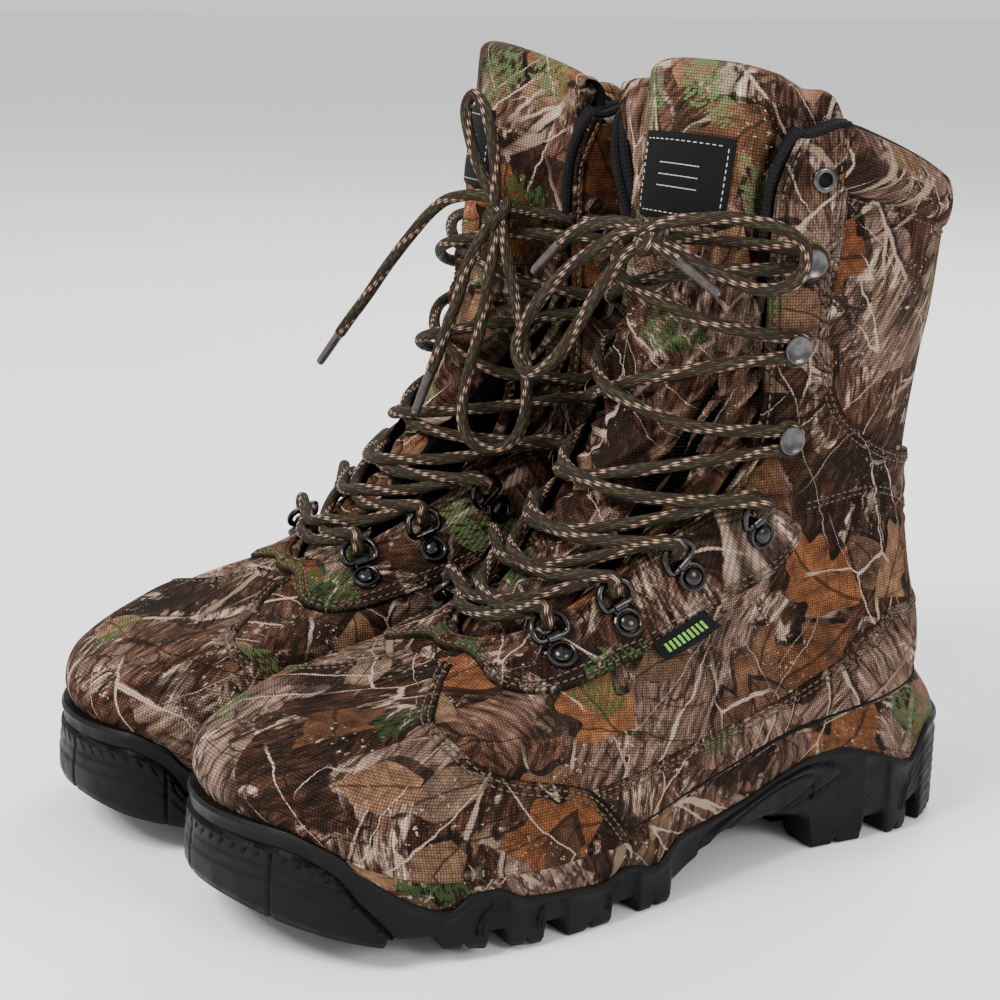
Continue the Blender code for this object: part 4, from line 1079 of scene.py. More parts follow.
def make_midsole():
    t = np.linspace(0, 1, 720, endpoint=False)
    low, high = outline(SOLE, t, 0.7), outline(FOOT, t, -2.2)
    z0, z1 = sole_top(low[:, 1]) - 1.2, along(FEATHER, high[:, 1]) - 0.2
    rings = []
    profile = [(0.0, 0.0), (0.1, 0.15), (0.25, 0.7), (0.42, 1.1), (0.6, 1.1), (0.76, 0.7), (0.88, 0.25),
               (0.95, 0.1), (1.0, -0.5)]
    for k, swell in profile:
        f = smooth(k, 0, 1) * 0.35 + k * 0.65
        p = low + (high - low) * f
        n = unit(outline(SOLE, t, -1.0) - outline(SOLE, t))
        rings.append(np.column_stack([p + n * swell, z0 + (z1 - z0) * k]))
    inner = outline(FOOT, t, 9.0)
    floor = along(FEATHER, inner[:, 1]) - 7.6
    for xy, z in ((outline(FOOT, t, 1.5), z1 - 0.4), (inner, z1 - 0.6), (inner, floor),
                  (inner * 0.02 + SOLE_MIDDLE * 0.98, floor)):
        rings.append(np.column_stack([xy, z]))
    start = np.column_stack([low * 0.9, z0 - 0.3])
    bottom = np.column_stack([low * 0.02 + SOLE_MIDDLE * 0.98, z0 - 0.3])
    rings = [bottom, start] + rings
    run = run_along(low)
    rise = np.concatenate([[0, 5], np.linspace(8, 30, len(profile)), [32, 36, 42, 60]])
    cloth = np.stack(np.broadcast_arrays(run[None, :], rise[:, None]), -1) * 0.001
    verts, faces, uv = loft(rings, uv=cloth)
    soup = Soup().add(verts, faces, uv)
    emit("midsole", soup, [SATIN], seed=2, crease=60)
    path = np.column_stack([outline(FOOT, t, -1.3), along(FEATHER, outline(FOOT, t, -1.3)[:, 1]) + 0.5])
    emit("welt", Soup().add(*tube(path[::2], 1.0, 8, closed=True)), [RIB], node="")


# ---- upper ---------------------------------------------------------------------------------------
VAMP_LIFT, FOXING_LIFT, FLAP_LIFT, STAY_LIFT = 2.2, 1.2, 0.9, 1.4


def toe_turn(v):
    """Turn at which the toe panel's seam stands at a level."""
    return np.interp(v, *np.array(TOE_SEAM).T)


def crumple(scale, amount, seed=0):
    """Relief of soft cloth: lumps of a size and half as many smaller ones."""
    def relief(_t, _v, p):
        return amount * (lumps(p, scale, seed) + 0.4 * lumps(p, scale * 0.42, seed + 1))
    return relief


def make_vamp():
    seam = np.array([(t, v) for v, t in TOE_SEAM[:-1]])
    curve = trace(seam)
    other = flipped(curve, -1)
    rows = np.concatenate([[-0.3, -0.15], np.linspace(0, 4.56, 84)])
    left = np.column_stack([np.interp(rows, curve[:, 1], curve[:, 0]), rows])
    grid = ruled(left, flipped(left, -1), 74)
    relief = crumple(34, 0.45, 3)
    soup = panel(grid, [curve, other], VAMP_LIFT, relief, t_ref=0.5)
    emit("vamp", soup, [FABRIC], seed=1)
    double_stitch(curve[8:], VAMP_LIFT, 1, relief)
    double_stitch(other[8:], VAMP_LIFT, -1, relief)


def make_foxing():
    half = trace(np.array(FOXING_TOP), 200)
    top = np.vstack([half[::-1], flipped(half, -1) - np.array([1, 0])])
    top = top[np.argsort(-top[:, 0], kind="stable")]
    turns = np.linspace(0.318, -0.318, 150)
    high = np.column_stack([turns, np.interp(np.abs(turns), half[:, 0], half[:, 1])])
    low = row_at(turns, -0.3)
    grid = ruled(low, high, 12, (False, True))
    soft = crumple(30, 0.3, 5)

    def relief(t, v, p):
        toe = toe_turn(v)
        return soft(t, v, p) - 1.2 * smooth(np.abs(t) - toe, 0.0, 0.008)

    soup = panel(grid, [top], FOXING_LIFT, relief, t_ref=0.0, cloth=wall_uv)
    emit("heel_foxing", soup, [FABRIC], seed=3)
    double_stitch(top, FOXING_LIFT, -1, relief)


def front_edge(v):
    return 0.5 - gap(v) - SEAM


def quarter_relief(side):
    """Creases of a side panel, and the step where it runs under the foxing and the toe panel."""
    def relief(t, v, p):
        turn = t if side > 0 else 1 - t
        soft = smooth(v, 4.2, 5.2)
        creases = 0.9 * soft * (1 - smooth(v, 6.6, 7.4)) * np.sin(v * 7.5 + 16 * turn + 2.2 * lumps(p, 30, 9))
        flap = 0.5 * smooth(v, 6.3, 7.0) * lumps(p, 15, 2)
        under = smooth(np.interp(turn, *np.array(FOXING_TOP).T) - v, 0.0, 0.15) * (turn < 0.33)
        toe = toe_turn(v)
        under = np.maximum(under, smooth(turn - toe, 0.0, 0.006) * (v < 4.7))
        rough = 0.5 * lumps(p, 32, 4 + side) + 0.25 * lumps(p, 13, 6) * soft
        return rough + 0.45 * creases + flap - 1.3 * under
    return relief


def make_quarters():
    rows = np.concatenate([np.linspace(1.0, 4.6, 44), np.linspace(4.66, 5.7, 24), np.linspace(5.74, 6.1, 12),
                           np.linspace(6.16, 8.9, 52), [8.94, 8.97, 9.0]])
    back = np.where(rows > 5.7, along(SHAFT_SEAM, rows), 0.0)
    foot = np.interp(rows, [1.0, 1.3, 1.75, 2.2, 2.3], [0.20, 0.17, 0.12, 0.05, 0.0])
    back = np.where(rows < 2.6, foot, back)
    front = np.where(rows < 4.6, toe_turn(rows) + 0.008,
                     np.minimum(front_edge(rows), 0.4995))
    seam = trace(np.array([(t, v) for v, t in SHAFT_SEAM]))
    edge_rows = np.linspace(5.0, 9.0, 160)
    lip = np.column_stack([front_edge(edge_rows), edge_rows])
    ankle = trace(np.array(ANKLE_SEAM))
    for side, word in SIDES:
        a = flipped(np.column_stack([back, rows]), side)
        b = flipped(np.column_stack([front, rows]), side)
        borders = [flipped(c, side) for c in (seam, lip)]
        bump = quarter_relief(side)

        def relief(t, v, p, bump=bump, seam=flipped(ankle, side)):
            d = distance_to(p, [seam])
            return bump(t, v, p) - 0.5 * hump(d, 0, 0.8) + 0.5 * hump(d, 3.0, 1.6)

        soup = panel(ruled(a, b, 84), borders, FLAP_LIFT, relief, cloth=side_uv)
        if side < 0:
            soup.faces = [f[::-1] for f in soup.faces]
        emit("quarter_" + word, soup, [FABRIC], seed=5 + side)
        double_stitch(borders[0], FLAP_LIFT, side, relief)
        stitch(inset(borders[1], -2.2 * side), -FLAP_LIFT, relief)
        double_stitch(flipped(ankle, side), FLAP_LIFT, side, relief, rows=(1.8, 3.8))


def make_shaft():
    turns = np.linspace(-0.297, 0.297, 110)
    low = np.column_stack([turns, np.interp(np.abs(turns), [t for _, t in SHAFT_SEAM[:5]],
                                            [v for v, _ in SHAFT_SEAM[:5]]) - 0.12])
    low[:, 1] = np.where(np.abs(turns) > 0.283, 7.9, low[:, 1])
    high = row_at(turns, 8.72)
    grid = ruled(low, high, 56, (False, False))
    soup = panel(grid, [], 0.0, crumple(38, 0.8, 8), base=0.7, t_ref=0.0, cloth=wall_uv)
    emit("shaft", soup, [FABRIC], seed=7)


BINDING = 11                # point of the collar's profile where the ribbed lining takes over


def make_collar():
    # level, depth and height above the rim, from the outside over the top; the binding starts at BINDING
    profile = [(8.63, 0.9, 0), (8.64, 0.0, 0), (8.66, -0.8, 0), (8.70, -1.4, 0), (8.75, -1.8, 0),
               (8.80, -2.0, 0), (8.86, -1.9, 0), (8.92, -1.5, 0), (8.97, -0.9, 0), (9.0, -0.2, 0.3),
               (9.0, 0.5, 0.8), (9.0, 1.0, 0.7), (9.0, 1.6, 1.5), (9.0, 2.8, 2.1), (9.0, 4.2, 1.8),
               (9.0, 5.2, 0.7), (8.97, 5.7, 0), (8.9, 5.4, 0), (8.8, 4.0, 0), (8.66, 2.4, 0)]
    turns = np.linspace(-0.29, 0.29, 150)
    rings = []
    for t in turns:
        close = 1 - 0.35 * smooth(abs(t), 0.27, 0.29)
        ring = np.array([skin(t, v, depth) + (0, 0, z) for v, depth, z in profile])
        ring[:, 2] -= 0.9 * (1 - close)
        n = outward(np.array(t), np.array(8.8))
        pleat = 0.25 * np.sin(t * 620 + 3 * lumps(ring, 20, 12)) * np.exp(-((ring[:, 2] - ring[5, 2]) / 9)**2)
        ring += n * (0.35 * lumps(ring, 16, 11) + pleat)[:, None]
        rings.append(ring)
    verts, faces, uv = loft(rings)
    mats = [1 if k % len(profile) >= BINDING else 0 for k in range(len(faces))]
    soup = Soup().add(verts, [f[::-1] for f in faces], uv[:, ::-1], mats)
    emit("collar", soup, [FABRIC, RIB], seed=9)
    band = row_at(turns, 8.64)
    stitch(inset(band, 2.2), 0.55)
    stitch(inset(band, -3.2), 0.7)


def make_lining():
    rows = np.concatenate([np.linspace(2.0, 5.0, 12), np.linspace(5.1, 8.9, 44), [8.95, 8.98, 9.0]])
    reach = 0.5 - np.maximum(gap(rows), SEAM) - 0.002 - 0.014 * (1 - smooth(rows, 7.9, 8.3))
    a, b = np.column_stack([-reach, rows]), np.column_stack([reach, rows])
    grid = ruled(a, b, 120, (False, False))
    t, v = grid[..., 0], grid[..., 1]
    p = upper(t, v)
    soft = 0.5 * lumps(p, 14, 21) + 0.9 * lumps(p, 40, 22)
    outer = skin(t, v, np.full(t.shape, 4.4))
    inner = skin(t, v, 9.0 + 1.2 * smooth(v, 7.5, 8.6) * (1 - smooth(v, 8.7, 9.0)) + soft)
    soup = slab(outer, inner, cloth_uv(t, v, 0.0))
    edge = np.linspace(5.02, 8.88, 110)
    for side in (1, -1):
        for past, sink, rim_sink, wide in ((0.004, 3.0, 2.6, 2.1), (0.0, 6.6, 6.0, 2.6)):
            front = [(flipped([(0.5 - gap(v) - 0.016 + (past + 0.016) * smooth(v, 7.9, 8.3), v)], side)[0],
                      sink + 2.2 * (1 - smooth(v, 7.8, 8.3))) for v in edge]
            over = [(flipped([(t, RIM)], side)[0], rim_sink) for t in np.linspace(0.5 - gap(8.97), 0.286, 20)]
            path = np.array([skin(*place, depth) for place, depth in front + over])[::3]
            path[-len(over) // 3:, 2] += 0.3
            path = resample(path, 1.5)
            radius = np.interp(path[:, 2], [190, 235], [wide * 0.6, wide])
            v_, f_, u_ = tube(path, radius, 12)
            soup.add(v_, f_, u_ * np.array([1, 0.016]))
    emit("lining", soup, [RIB], node="liner")


def make_eyestay():
    low = trace(np.array(EYESTAY_EDGE[::-1]), 150)
    half = np.vstack([low, flipped(low, -1)[::-1][1:]])
    inner = [(0.494 - gap(v), v) for v in (6.28, 6.15, 5.9, 5.65, 5.4, 5.18)] + [(0.46, 4.98), (0.5, 4.93)]
    top = trace(inner, 150)
    upper_row = np.vstack([top, flipped(top, -1)[::-1][1:]])
    grid = ruled(half, upper_row, 14)
    start = np.linspace(0, 1, 30)[:, None]
    end = half[0] * (1 - start) + upper_row[0] * start
    borders = [half, upper_row, end, flipped(end, -1)]
    relief = crumple(26, 0.35, 13)
    soup = panel(grid, borders, STAY_LIFT, relief, thick=1.0, base=EYESTAY_DEPTH + 0.8, cloth=instep_uv)
    soup.faces = [f[::-1] for f in soup.faces] if facing_in(soup) else soup.faces
    emit("eyestay", soup, [FABRIC_GREEN], seed=11)
    double_stitch(half[3:-3], STAY_LIFT, -1, relief, EYESTAY_DEPTH + 0.8)


def facing_in(soup):
    """True where most of a closed piece's faces point into it."""
    v = np.array(soup.verts)
    volume = 0.0
    for f in soup.faces:
        a, b, c = v[f[0]], v[f[1]], v[f[2]]
        volume += a @ np.cross(b, c)
        if len(f) == 4:
            volume += a @ np.cross(c, v[f[3]])
    return volume < 0


def make_side_tag():
    """Woven tag in the eyestay's seam, with plain bars in place of the marks on the real one."""
    corners = np.array([(0.312, 4.25), (0.288, 4.65), (0.265, 4.03), (0.285, 3.48)])
    f = np.linspace(0, 1, 14)[:, None]
    low, high = corners[3] * (1 - f) + corners[2] * f, corners[0] * (1 - f) + corners[1] * f
    grid = ruled(low, high, 4, (False, False))
    t, v = grid[..., 0], grid[..., 1]
    soup = slab(skin(t, v, np.full(t.shape, -4.3)), skin(t, v, np.full(t.shape, -3.1)), cloth_uv(t, v, 0.28))
    for k in range(9):
        f0, f1 = 0.12 + k * 0.085, 0.12 + k * 0.085 + 0.045
        cell = []
        for depth in (-4.6, -4.1):
            for f, g in ((f0, 0.3), (f1, 0.3), (f1, 0.72), (f0, 0.72)):
                a = corners[3] * (1 - f) + corners[2] * f
                b = corners[0] * (1 - f) + corners[1] * f
                cell.append(skin(*(a * (1 - g) + b * g), depth))
        faces = [(0, 1, 2, 3), (7, 6, 5, 4), (0, 4, 5, 1), (1, 5, 6, 2), (2, 6, 7, 3), (3, 7, 4, 0)]
        soup.add(cell, faces, mat=1)
    emit("side_tag", soup, [LABEL, TAG_MARK], node="", crease=40)


def tongue_half(v):
    """Half the tongue's width in turns: it spreads under the flaps near the top."""
    return gap(v) + 0.014 + 0.075 * smooth(v, 8.1, 8.85)


def on_tongue(t, v, depth):
    """Point on the tongue: sunk under the flaps at its sides and crowned at the top."""
    past = np.abs(t - 0.5) - (gap(v) - 0.014 - 0.020 * smooth(v, 7.8, 8.6))
    sink = TONGUE_FRONT + (4.6 + 6.4 * smooth(v, 7.8, 8.6)) * smooth(past, 0, 0.024)
    across = np.clip((t - 0.5) / tongue_half(v), -1, 1)
    drop = 22 * (1 + np.cos(2 * np.pi * t))
    lean = across + 0.22 * (1 - across**2)
    crown = (TONGUE_CROWN + 0.6 * drop) * (1 - np.abs(lean)**2.3) - 9 * np.abs(across)**7
    crown = crown * smooth(v, 8.2, RIM)
    return skin(t, v, sink + depth) + np.stack([0 * crown, 0.25 * crown, crown], -1)


def make_tongue():
    nu = 101
    rows = np.concatenate([np.linspace(4.95, 8.2, 130), np.linspace(8.22, 9.0, 30)])
    across = np.linspace(-1, 1, nu)[:, None]
    v = rows[None, :] + 0 * across
    t = 0.5 + across * tongue_half(v)
    flat = upper(t, v)
    uv = cloth_uv(t, v, 0.5)
    side, rise = uv[..., 0] * 1000, uv[..., 1] * 1000
    loose = smooth(v, 5.0, 5.5) * (1 - smooth(v, 8.05, 8.35))
    puffed = smooth(v, 8.1, 8.45)
    pad = 1.4 * (1 - across**2) * smooth(v, 5.0, 5.5) + 2.6 * puffed * (1 - across**4)
    wander = 6.0 * lumps(flat, 26, 31) + 2.5 * lumps(flat, 11, 32)
    slant = np.sin((rise - 0.75 * np.abs(side) + wander) * 2 * np.pi / 17.0)
    upright = np.sin((side + 0.25 * rise + wander) * 2 * np.pi / 12.0)
    mixed = smooth(lumps(flat, 30, 37), -0.35, 0.35) * smooth(np.abs(across), 0.15, 0.5)
    ridge = np.maximum(slant, 0)**1.4 * (1 - mixed) + np.maximum(upright, 0)**1.2 * mixed
    fold = 5.2 * loose * (0.5 + 0.5 * smooth(np.abs(across), 0.12, 0.5)) * (ridge - 0.35)
    small = loose * (0.9 * lumps(flat, 9, 33) + 0.45 * lumps(flat, 4.5, 34))
    depth = -pad - fold - small - 0.6 * puffed * lumps(flat, 22, 35) - 0.25 * lumps(flat, 9, 38)
    thick = 1.2 + 7.5 * (1 - np.abs(across)**2.5) * (0.45 + 0.55 * puffed)
    front = on_tongue(t, v, depth)
    back_rows = slice(None, None, -4)
    back = on_tongue(t, v, thick + 0.4 * lumps(flat, 18, 36))[:, back_rows]
    a, b = front[:, -1], back[:, 0]
    middle, half = (a + b) / 2, (a - b) / 2
    reach = np.linalg.norm(half, axis=-1, keepdims=True)
    roll = np.stack([middle + half * math.cos(w) + np.array([0, 0, 0.8]) * reach * math.sin(w)
                     for w in np.linspace(0, math.pi, 18)[1:-1]], 1)
    whole = np.concatenate([front, roll, back], 1)
    run = np.cumsum(np.linalg.norm(np.diff(whole[nu // 2], axis=0), axis=-1)) * 0.001
    vv = np.concatenate([[0], run]) + uv[nu // 2, 0, 1]
    uu = np.concatenate([uv[..., 0], np.repeat(uv[:, -1:, 0], whole.shape[1] - uv.shape[1], 1)], 1)
    full_uv = np.stack(np.broadcast_arrays(uu, vv[None, :]), -1)
    m = whole.shape[1]
    faces = grid_faces(nu, m, False, True)
    mats = [0 if k % m < front.shape[1] + 9 else 1 for k in range(len(faces))]
    ends = [tuple(range(m))[::-1], tuple((nu - 1) * m + j for j in range(m))]
    soup = Soup().add(whole.reshape(-1, 3), faces + ends, full_uv.reshape(-1, 2), mats + [1, 1])
    # painted shade in the valleys between the tongue's folds, on its front face
    painted_valley_shade = np.zeros(whole.shape[:2], np.float32)
    low = 0.55 * loose * (1 - smooth(ridge, 0.0, 0.35)) * smooth(np.abs(across), 0.05, 0.4)
    painted_valley_shade[:, :front.shape[1]] = low
    soup.shade = painted_valley_shade.ravel()
    if facing_in(soup):
        soup.faces = [f[::-1] for f in soup.faces]
    for obj in emit("tongue", soup, [TONGUE_CLOTH_PAINTED_LIGHT, RIB], body=None, seed=13):
        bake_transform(obj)

    (t0, v0), (t1, v1) = LABEL_SPAN
    turns = np.linspace(t0, t1, 50)
    grid = ruled(row_at(turns, v0), row_at(turns, v1), 24, (False, False))
    t, v = grid[..., 0], grid[..., 1]
    rim = np.minimum(np.minimum(t - t0, t1 - t) * 260, np.minimum(v - v0, v1 - v) * 68)
    hug = label_depth(t, v) - 0.35 * np.sqrt(np.clip(rim, 0, 1))
    soup = slab(on_tongue(t, v, hug), on_tongue(t, v, hug + 1.3), cloth_uv(t, v, 0.5))
    dt, dv = 0.007, 0.035
    corners = [(t0 + dt, v0 + dv), (t1 - dt, v0 + dv), (t1 - dt, v1 - dv), (t0 + dt, v1 - dv)]
    s = np.linspace(0, 1, 60)[:, None]
    for a, b in zip(corners, corners[1:] + corners[:1]):
        add_dashes(soup, np.array(a) * (1 - s) + np.array(b) * s)
    for f in (0.40, 0.53, 0.66):
        level = v0 + (v1 - v0) * f
        a, b = np.array((t0 + 5 * dt, level)), np.array((t1 - 5 * dt, level))
        add_dashes(soup, a * (1 - s) + b * s, 1.0, 0.9)
    emit("tongue_label", soup, [LABEL, LABEL_MARK], "tongue_body_{}")


def label_depth(t, v):
    """Depth at which the label lies on the padded part of the tongue."""
    p = upper(t, v)
    across = (t - 0.5) / tongue_half(v)
    pad = 1.4 * (1 - across**2)
    return -pad - 2.6 * smooth(v, 8.1, 8.45) * (1 - across**4) - 0.6 * lumps(p, 22, 35) - 0.5


def add_dashes(soup, line, pitch=2.4, length=1.5):
    """Short raised yarn marks along a line of places on the label."""
    t, v = line.T
    p = on_tongue(t, v, label_depth(t, v) - 0.4)
    run = run_along(p)
    for at in np.arange(0.6, run[-1] - length, pitch):
        path = at_runs(at + np.linspace(0, length, 4), run, p)
        soup.add(*tube(path, [0.12, 0.22, 0.22, 0.12], 6), mat=1)


TONGUE_FRONT = 2.9
TONGUE_CROWN = 11.5
LABEL_SPAN = ((0.402, 8.33), (0.532, 8.73))


# ---- lacing hardware -----------------------------------------------------------------------------
STRIP_DEPTH = EYESTAY_DEPTH - 0.5
FLAP_STRIP = -0.5
STRIP = 0.8
CURL_IN, CURL_OUT = WIRE_RADIUS + 0.35, WIRE_RADIUS + 1.1
LIFT = math.radians(20)


def clip_frame(k, side):
    """Hinge centre of ring k, its reach direction, hinge axis, outward normal, rivet centre."""
    place, tip = flipped([CLIPS[k], RING_TIPS[k]], side)
    rivet, d, e, n = frame_at(*place, tuple(tip), STRIP_DEPTH - STRIP)
    return rivet + d * CLIP_REACH + n * (CURL_OUT + 0.1), d, e, n, rivet


def hook_frame(k, side):
    t, v = HOOKS[k]
    place, toward = flipped([(t, v), (t + 0.05, v + 0.02)], side)
    return frame_at(*place, tuple(toward), FLAP_STRIP - STRIP)


def ring_reach(k, side):
    hinge, d, e, n, _ = clip_frame(k, side)
    return hinge, e, d * math.cos(LIFT) + n * math.sin(LIFT), n * math.cos(LIFT) - d * math.sin(LIFT)


def strip_along(path, normals, width, thick):
    """Flat strip with softened edges: path, normals of its face, sizes."""
    tangent = unit(np.gradient(path, axis=0))
    across = unit(np.cross(normals, tangent))
    w, h, r = width / 2, thick / 2, thick * 0.35
    section = [(-w, -h + r), (-w + r, -h), (w - r, -h), (w, -h + r),
               (w, h - r), (w - r, h), (-w + r, h), (-w, h - r)]
    rings = [[p + a * x + n * y for x, y in section] for p, a, n in zip(path, across, normals)]
    return loft(rings)


# turned outlines: (radius, height) from the axis; and a ring's loop: (along the hinge, reach)
DOME = [(0, 0.3), (3.4, 0.3), (3.5, 1.0), (3.3, 1.6), (2.8, 2.15), (2.1, 2.55), (1.1, 2.8), (0, 2.88)]
HOOK = [(0, -0.6), (3.6, -0.6), (3.9, 0.1), (3.5, 0.55), (2.0, 0.7), (1.65, 1.2), (1.6, 4.7), (2.0, 5.2),
        (4.4, 5.35), (5.1, 5.7), (5.25, 6.2), (5.1, 6.7), (4.7, 6.95), (4.2, 6.85), (3.6, 6.55), (1.6, 6.4),
        (0, 6.4)]
GROMMET = [(2.5, -0.4), (2.5, 0.5), (2.75, 0.95), (3.3, 1.15), (4.1, 1.0), (4.5, 0.6), (4.6, -0.2),
           (4.4, -0.7)]
BOW_REACH = 9.2
BOW = [(-4.4, 0), (0, 0), (4.4, 0), (6.1, 1.2), (6.5, 3.6), (5.6, 6.6), (3.2, 8.6), (0, BOW_REACH),
       (-3.2, 8.6), (-5.6, 6.6), (-6.5, 3.6), (-6.1, 1.2)]


def make_hardware():
    for side, word in SIDES:
        soup = Soup()
        for k in range(len(CLIPS)):
            hinge, d, e, n, rivet = clip_frame(k, side)
            turn = np.linspace(0.56, 2 * np.pi - 0.56, 30)
            plate = [(CLIP_REACH - 0.5, 2.9), (5.1, 2.8)]
            plate += [(5.5 * math.cos(a), 5.5 * math.sin(a)) for a in turn]
            plate += [(5.1, -2.8), (CLIP_REACH - 0.5, -2.9)]
            rings = []
            for shrink, h in ((0.94, -0.9), (1.0, -0.6), (1.0, 0.35), (0.94, 0.65)):
                rings.append([rivet + d * (a * shrink) + e * (b * shrink) + n * h for a, b in plate])
            soup.add(*loft(rings))
            for rail in (-2.25, 2.25):
                plan = ((4.2, 0.7), (5.0, 1.3), (6.0, 1.7), (7.4, 1.7))
                line = resample([rivet + d * a + e * rail + n * h for a, h in plan], 0.5)
                soup.add(*tube(line, [0.35] + [0.62] * (len(line) - 2) + [0.35], 8))
            circle = [rivet + d * 4.6 * math.cos(a) + e * 4.6 * math.sin(a) + n * 0.8
                      for a in np.linspace(0, 2 * np.pi, 36, endpoint=False)]
            soup.add(*tube(circle, 0.85, 10, closed=True))
            soup.add(*turned(DOME, rivet, n))
            angles = np.radians(np.linspace(-90, 165, 18))
            mid = (CURL_IN + CURL_OUT) / 2 + 0.1
            height = CURL_OUT + 0.1
            plan = [(1.5, height - mid), (4.2, height - mid)]
            plan += [(CLIP_REACH + mid * math.cos(a), height + mid * math.sin(a)) for a in angles]
            path = np.array([rivet + d * a + n * b for a, b in plan])
            faced = [n, n] + [unit(-(d * math.cos(a) + n * math.sin(a))) for a in angles]
            soup.add(*strip_along(path, np.array(faced), 5.2, 0.85))
        for k in range(len(HOOKS)):
            p, _, _, n = hook_frame(k, side)
            soup.add(*turned(HOOK, p, n, 36), mat=1)
        place, toward = flipped([EYELET, (EYELET[0] + 0.05, EYELET[1])], side)
        p, _, _, n = frame_at(*place, tuple(toward), FLAP_STRIP - STRIP)
        verts, faces, uv = turned(GROMMET, p, n, 36)
        soup.add(verts, faces[:-2], uv, mat=1)
        soup.add(*turned([(0, 0.15), (2.6, 0.15), (2.6, -0.3), (0, -0.3)], p, n, 24), mat=2)
        emit("lace_hardware_" + word, soup, [GUNMETAL, STEEL_GREY, LINING], crease=35)
        for k in range(len(CLIPS)):
            hinge, e, reach, up = ring_reach(k, side)
            bow = np.array([hinge + e * a + reach * b + up * 0.9 * math.sin(max(b, 0) / BOW_REACH * math.pi)
                            for a, b in resample(BOW, 0.55, closed=True)])
            name = "ring_%s_%d" % (word, k + 1)
            wire = Soup().add(*tube(bow, RING_RADIUS, 12, closed=True))
            emit(name, wire, [GUNMETAL], name + "_{}_body")


# ---- laces ---------------------------------------------------------------------------------------
def ring_turn(k, side):
    """The lace's way through ring k, in and out under its bow."""
    hinge, _, reach, up = ring_reach(k, side)
    plan = ((11.2, -3.1), (8.4, -3.3), (5.5, -1.6), (5.5, 1.7), (8.4, 3.4), (11.2, 2.9))
    return [hinge + reach * a + up * b for a, b in plan]


def hook_turn(k, side):
    """The lace's way round the neck of hook k."""
    p, c, w, n = hook_frame(k, side)
    w = w if w[2] > 0 else -w
    r = 1.7 + LACE_RADIUS + 0.2
    h = n * (LACE_RADIUS + 0.8)
    plan = ((1.4, -0.85), (0.5, -1.05), (-0.4, -1.0), (-1.0, -0.45),
            (-1.0, 0.45), (-0.4, 1.0), (0.5, 1.05), (1.4, 0.85))
    return [p + h + r * (a * c + b * w) for a, b in plan]


def row_place(k, side):
    return flipped([(RING_TIPS + HOOKS)[k]], side)[0]


def crossing(k, side, heights):
    a, b = row_place(k, side), row_place(k + 1, -side)
    return [skin(*(a * (1 - f) + b * f), -h) for f, h in zip((0.25, 0.5, 0.75), heights)]


def strand(start):
    """Half of the lace, zigzag from a first ring to the last hook, and the side it ends on."""
    side, points = start, []
    for k in range(len(RING_TIPS + HOOKS) - 1):
        points += crossing(k, side, (6.6, 8.4, 5.6) if side > 0 else (6.0, 4.0, 5.0))
        side = -side
        points += ring_turn(k + 1, side) if k + 1 < len(CLIPS) else hook_turn(k + 1 - len(CLIPS), side)
    return points, side


TIP_POINTS = 15                     # points of the path that the plastic tip takes up
TIP_RADII = (2.15, 1.95, 1.85, 1.5)
KNOTS = {"left": (15, -9, 235), "right": (-28, -1, 232)}
BOWS = {                            # loops and free ends; True marks an end with a plastic tip
    "left": [
        ([(13, -11, 236), (20, -7, 240), (29, 1, 242), (39, 10, 243), (48, 23, 240), (52, 31, 233),
          (51, 29, 222), (46, 17, 219), (36, 3, 225), (25, -4, 231), (15, -9, 234)], False),
        ([(16, -9, 237), (8, -14, 236), (-1, -18, 230), (-13, -24, 220), (-23, -30, 206), (-33, -31, 190),
          (-27, -30, 181), (-15, -27, 187), (-7, -23, 200), (2, -19, 216), (9, -14, 228),
          (15, -9, 233)], False),
        ([(17, -8, 236), (4, -15, 239), (-12, -21, 234), (-24, -24, 224), (-32, -25, 217)], True),
        ([(13, -10, 235), (21, -9, 232), (30, -4, 226), (40, 4, 217)], True),
    ],
    "right": [
        ([(-28, -1, 234), (-24, -4, 243), (-17, -6, 255), (-12, -7, 269), (-14, -5, 276), (-21, -3, 270),
          (-27, -2, 252), (-28, -2, 235)], False),
        ([(-30, 0, 232), (-24, -4, 238), (-10, -11, 236), (1, -14, 230), (12, -18, 219), (25, -22, 205),
          (36, -26, 191), (47, -30, 178), (60, -36, 160)], True),
        ([(-28, 0, 234), (-26, -4, 226), (-24, -11, 212), (-23, -16, 195), (-20, -23, 173),
          (-18, -30, 153)], True),
        ([(-27, -2, 234), (-29, -2, 224), (-30, -4, 212), (-31, -9, 187), (-33, -17, 159), (-39, -16, 145),
          (-47, -6, 143), (-49, 2, 156), (-45, 3, 184), (-37, 0, 212), (-31, 0, 226), (-27, -1, 236)], False),
    ],
}


def cord(path, closed=False):
    return tube(path, LACE_RADIUS, LACE_SIDES, closed)


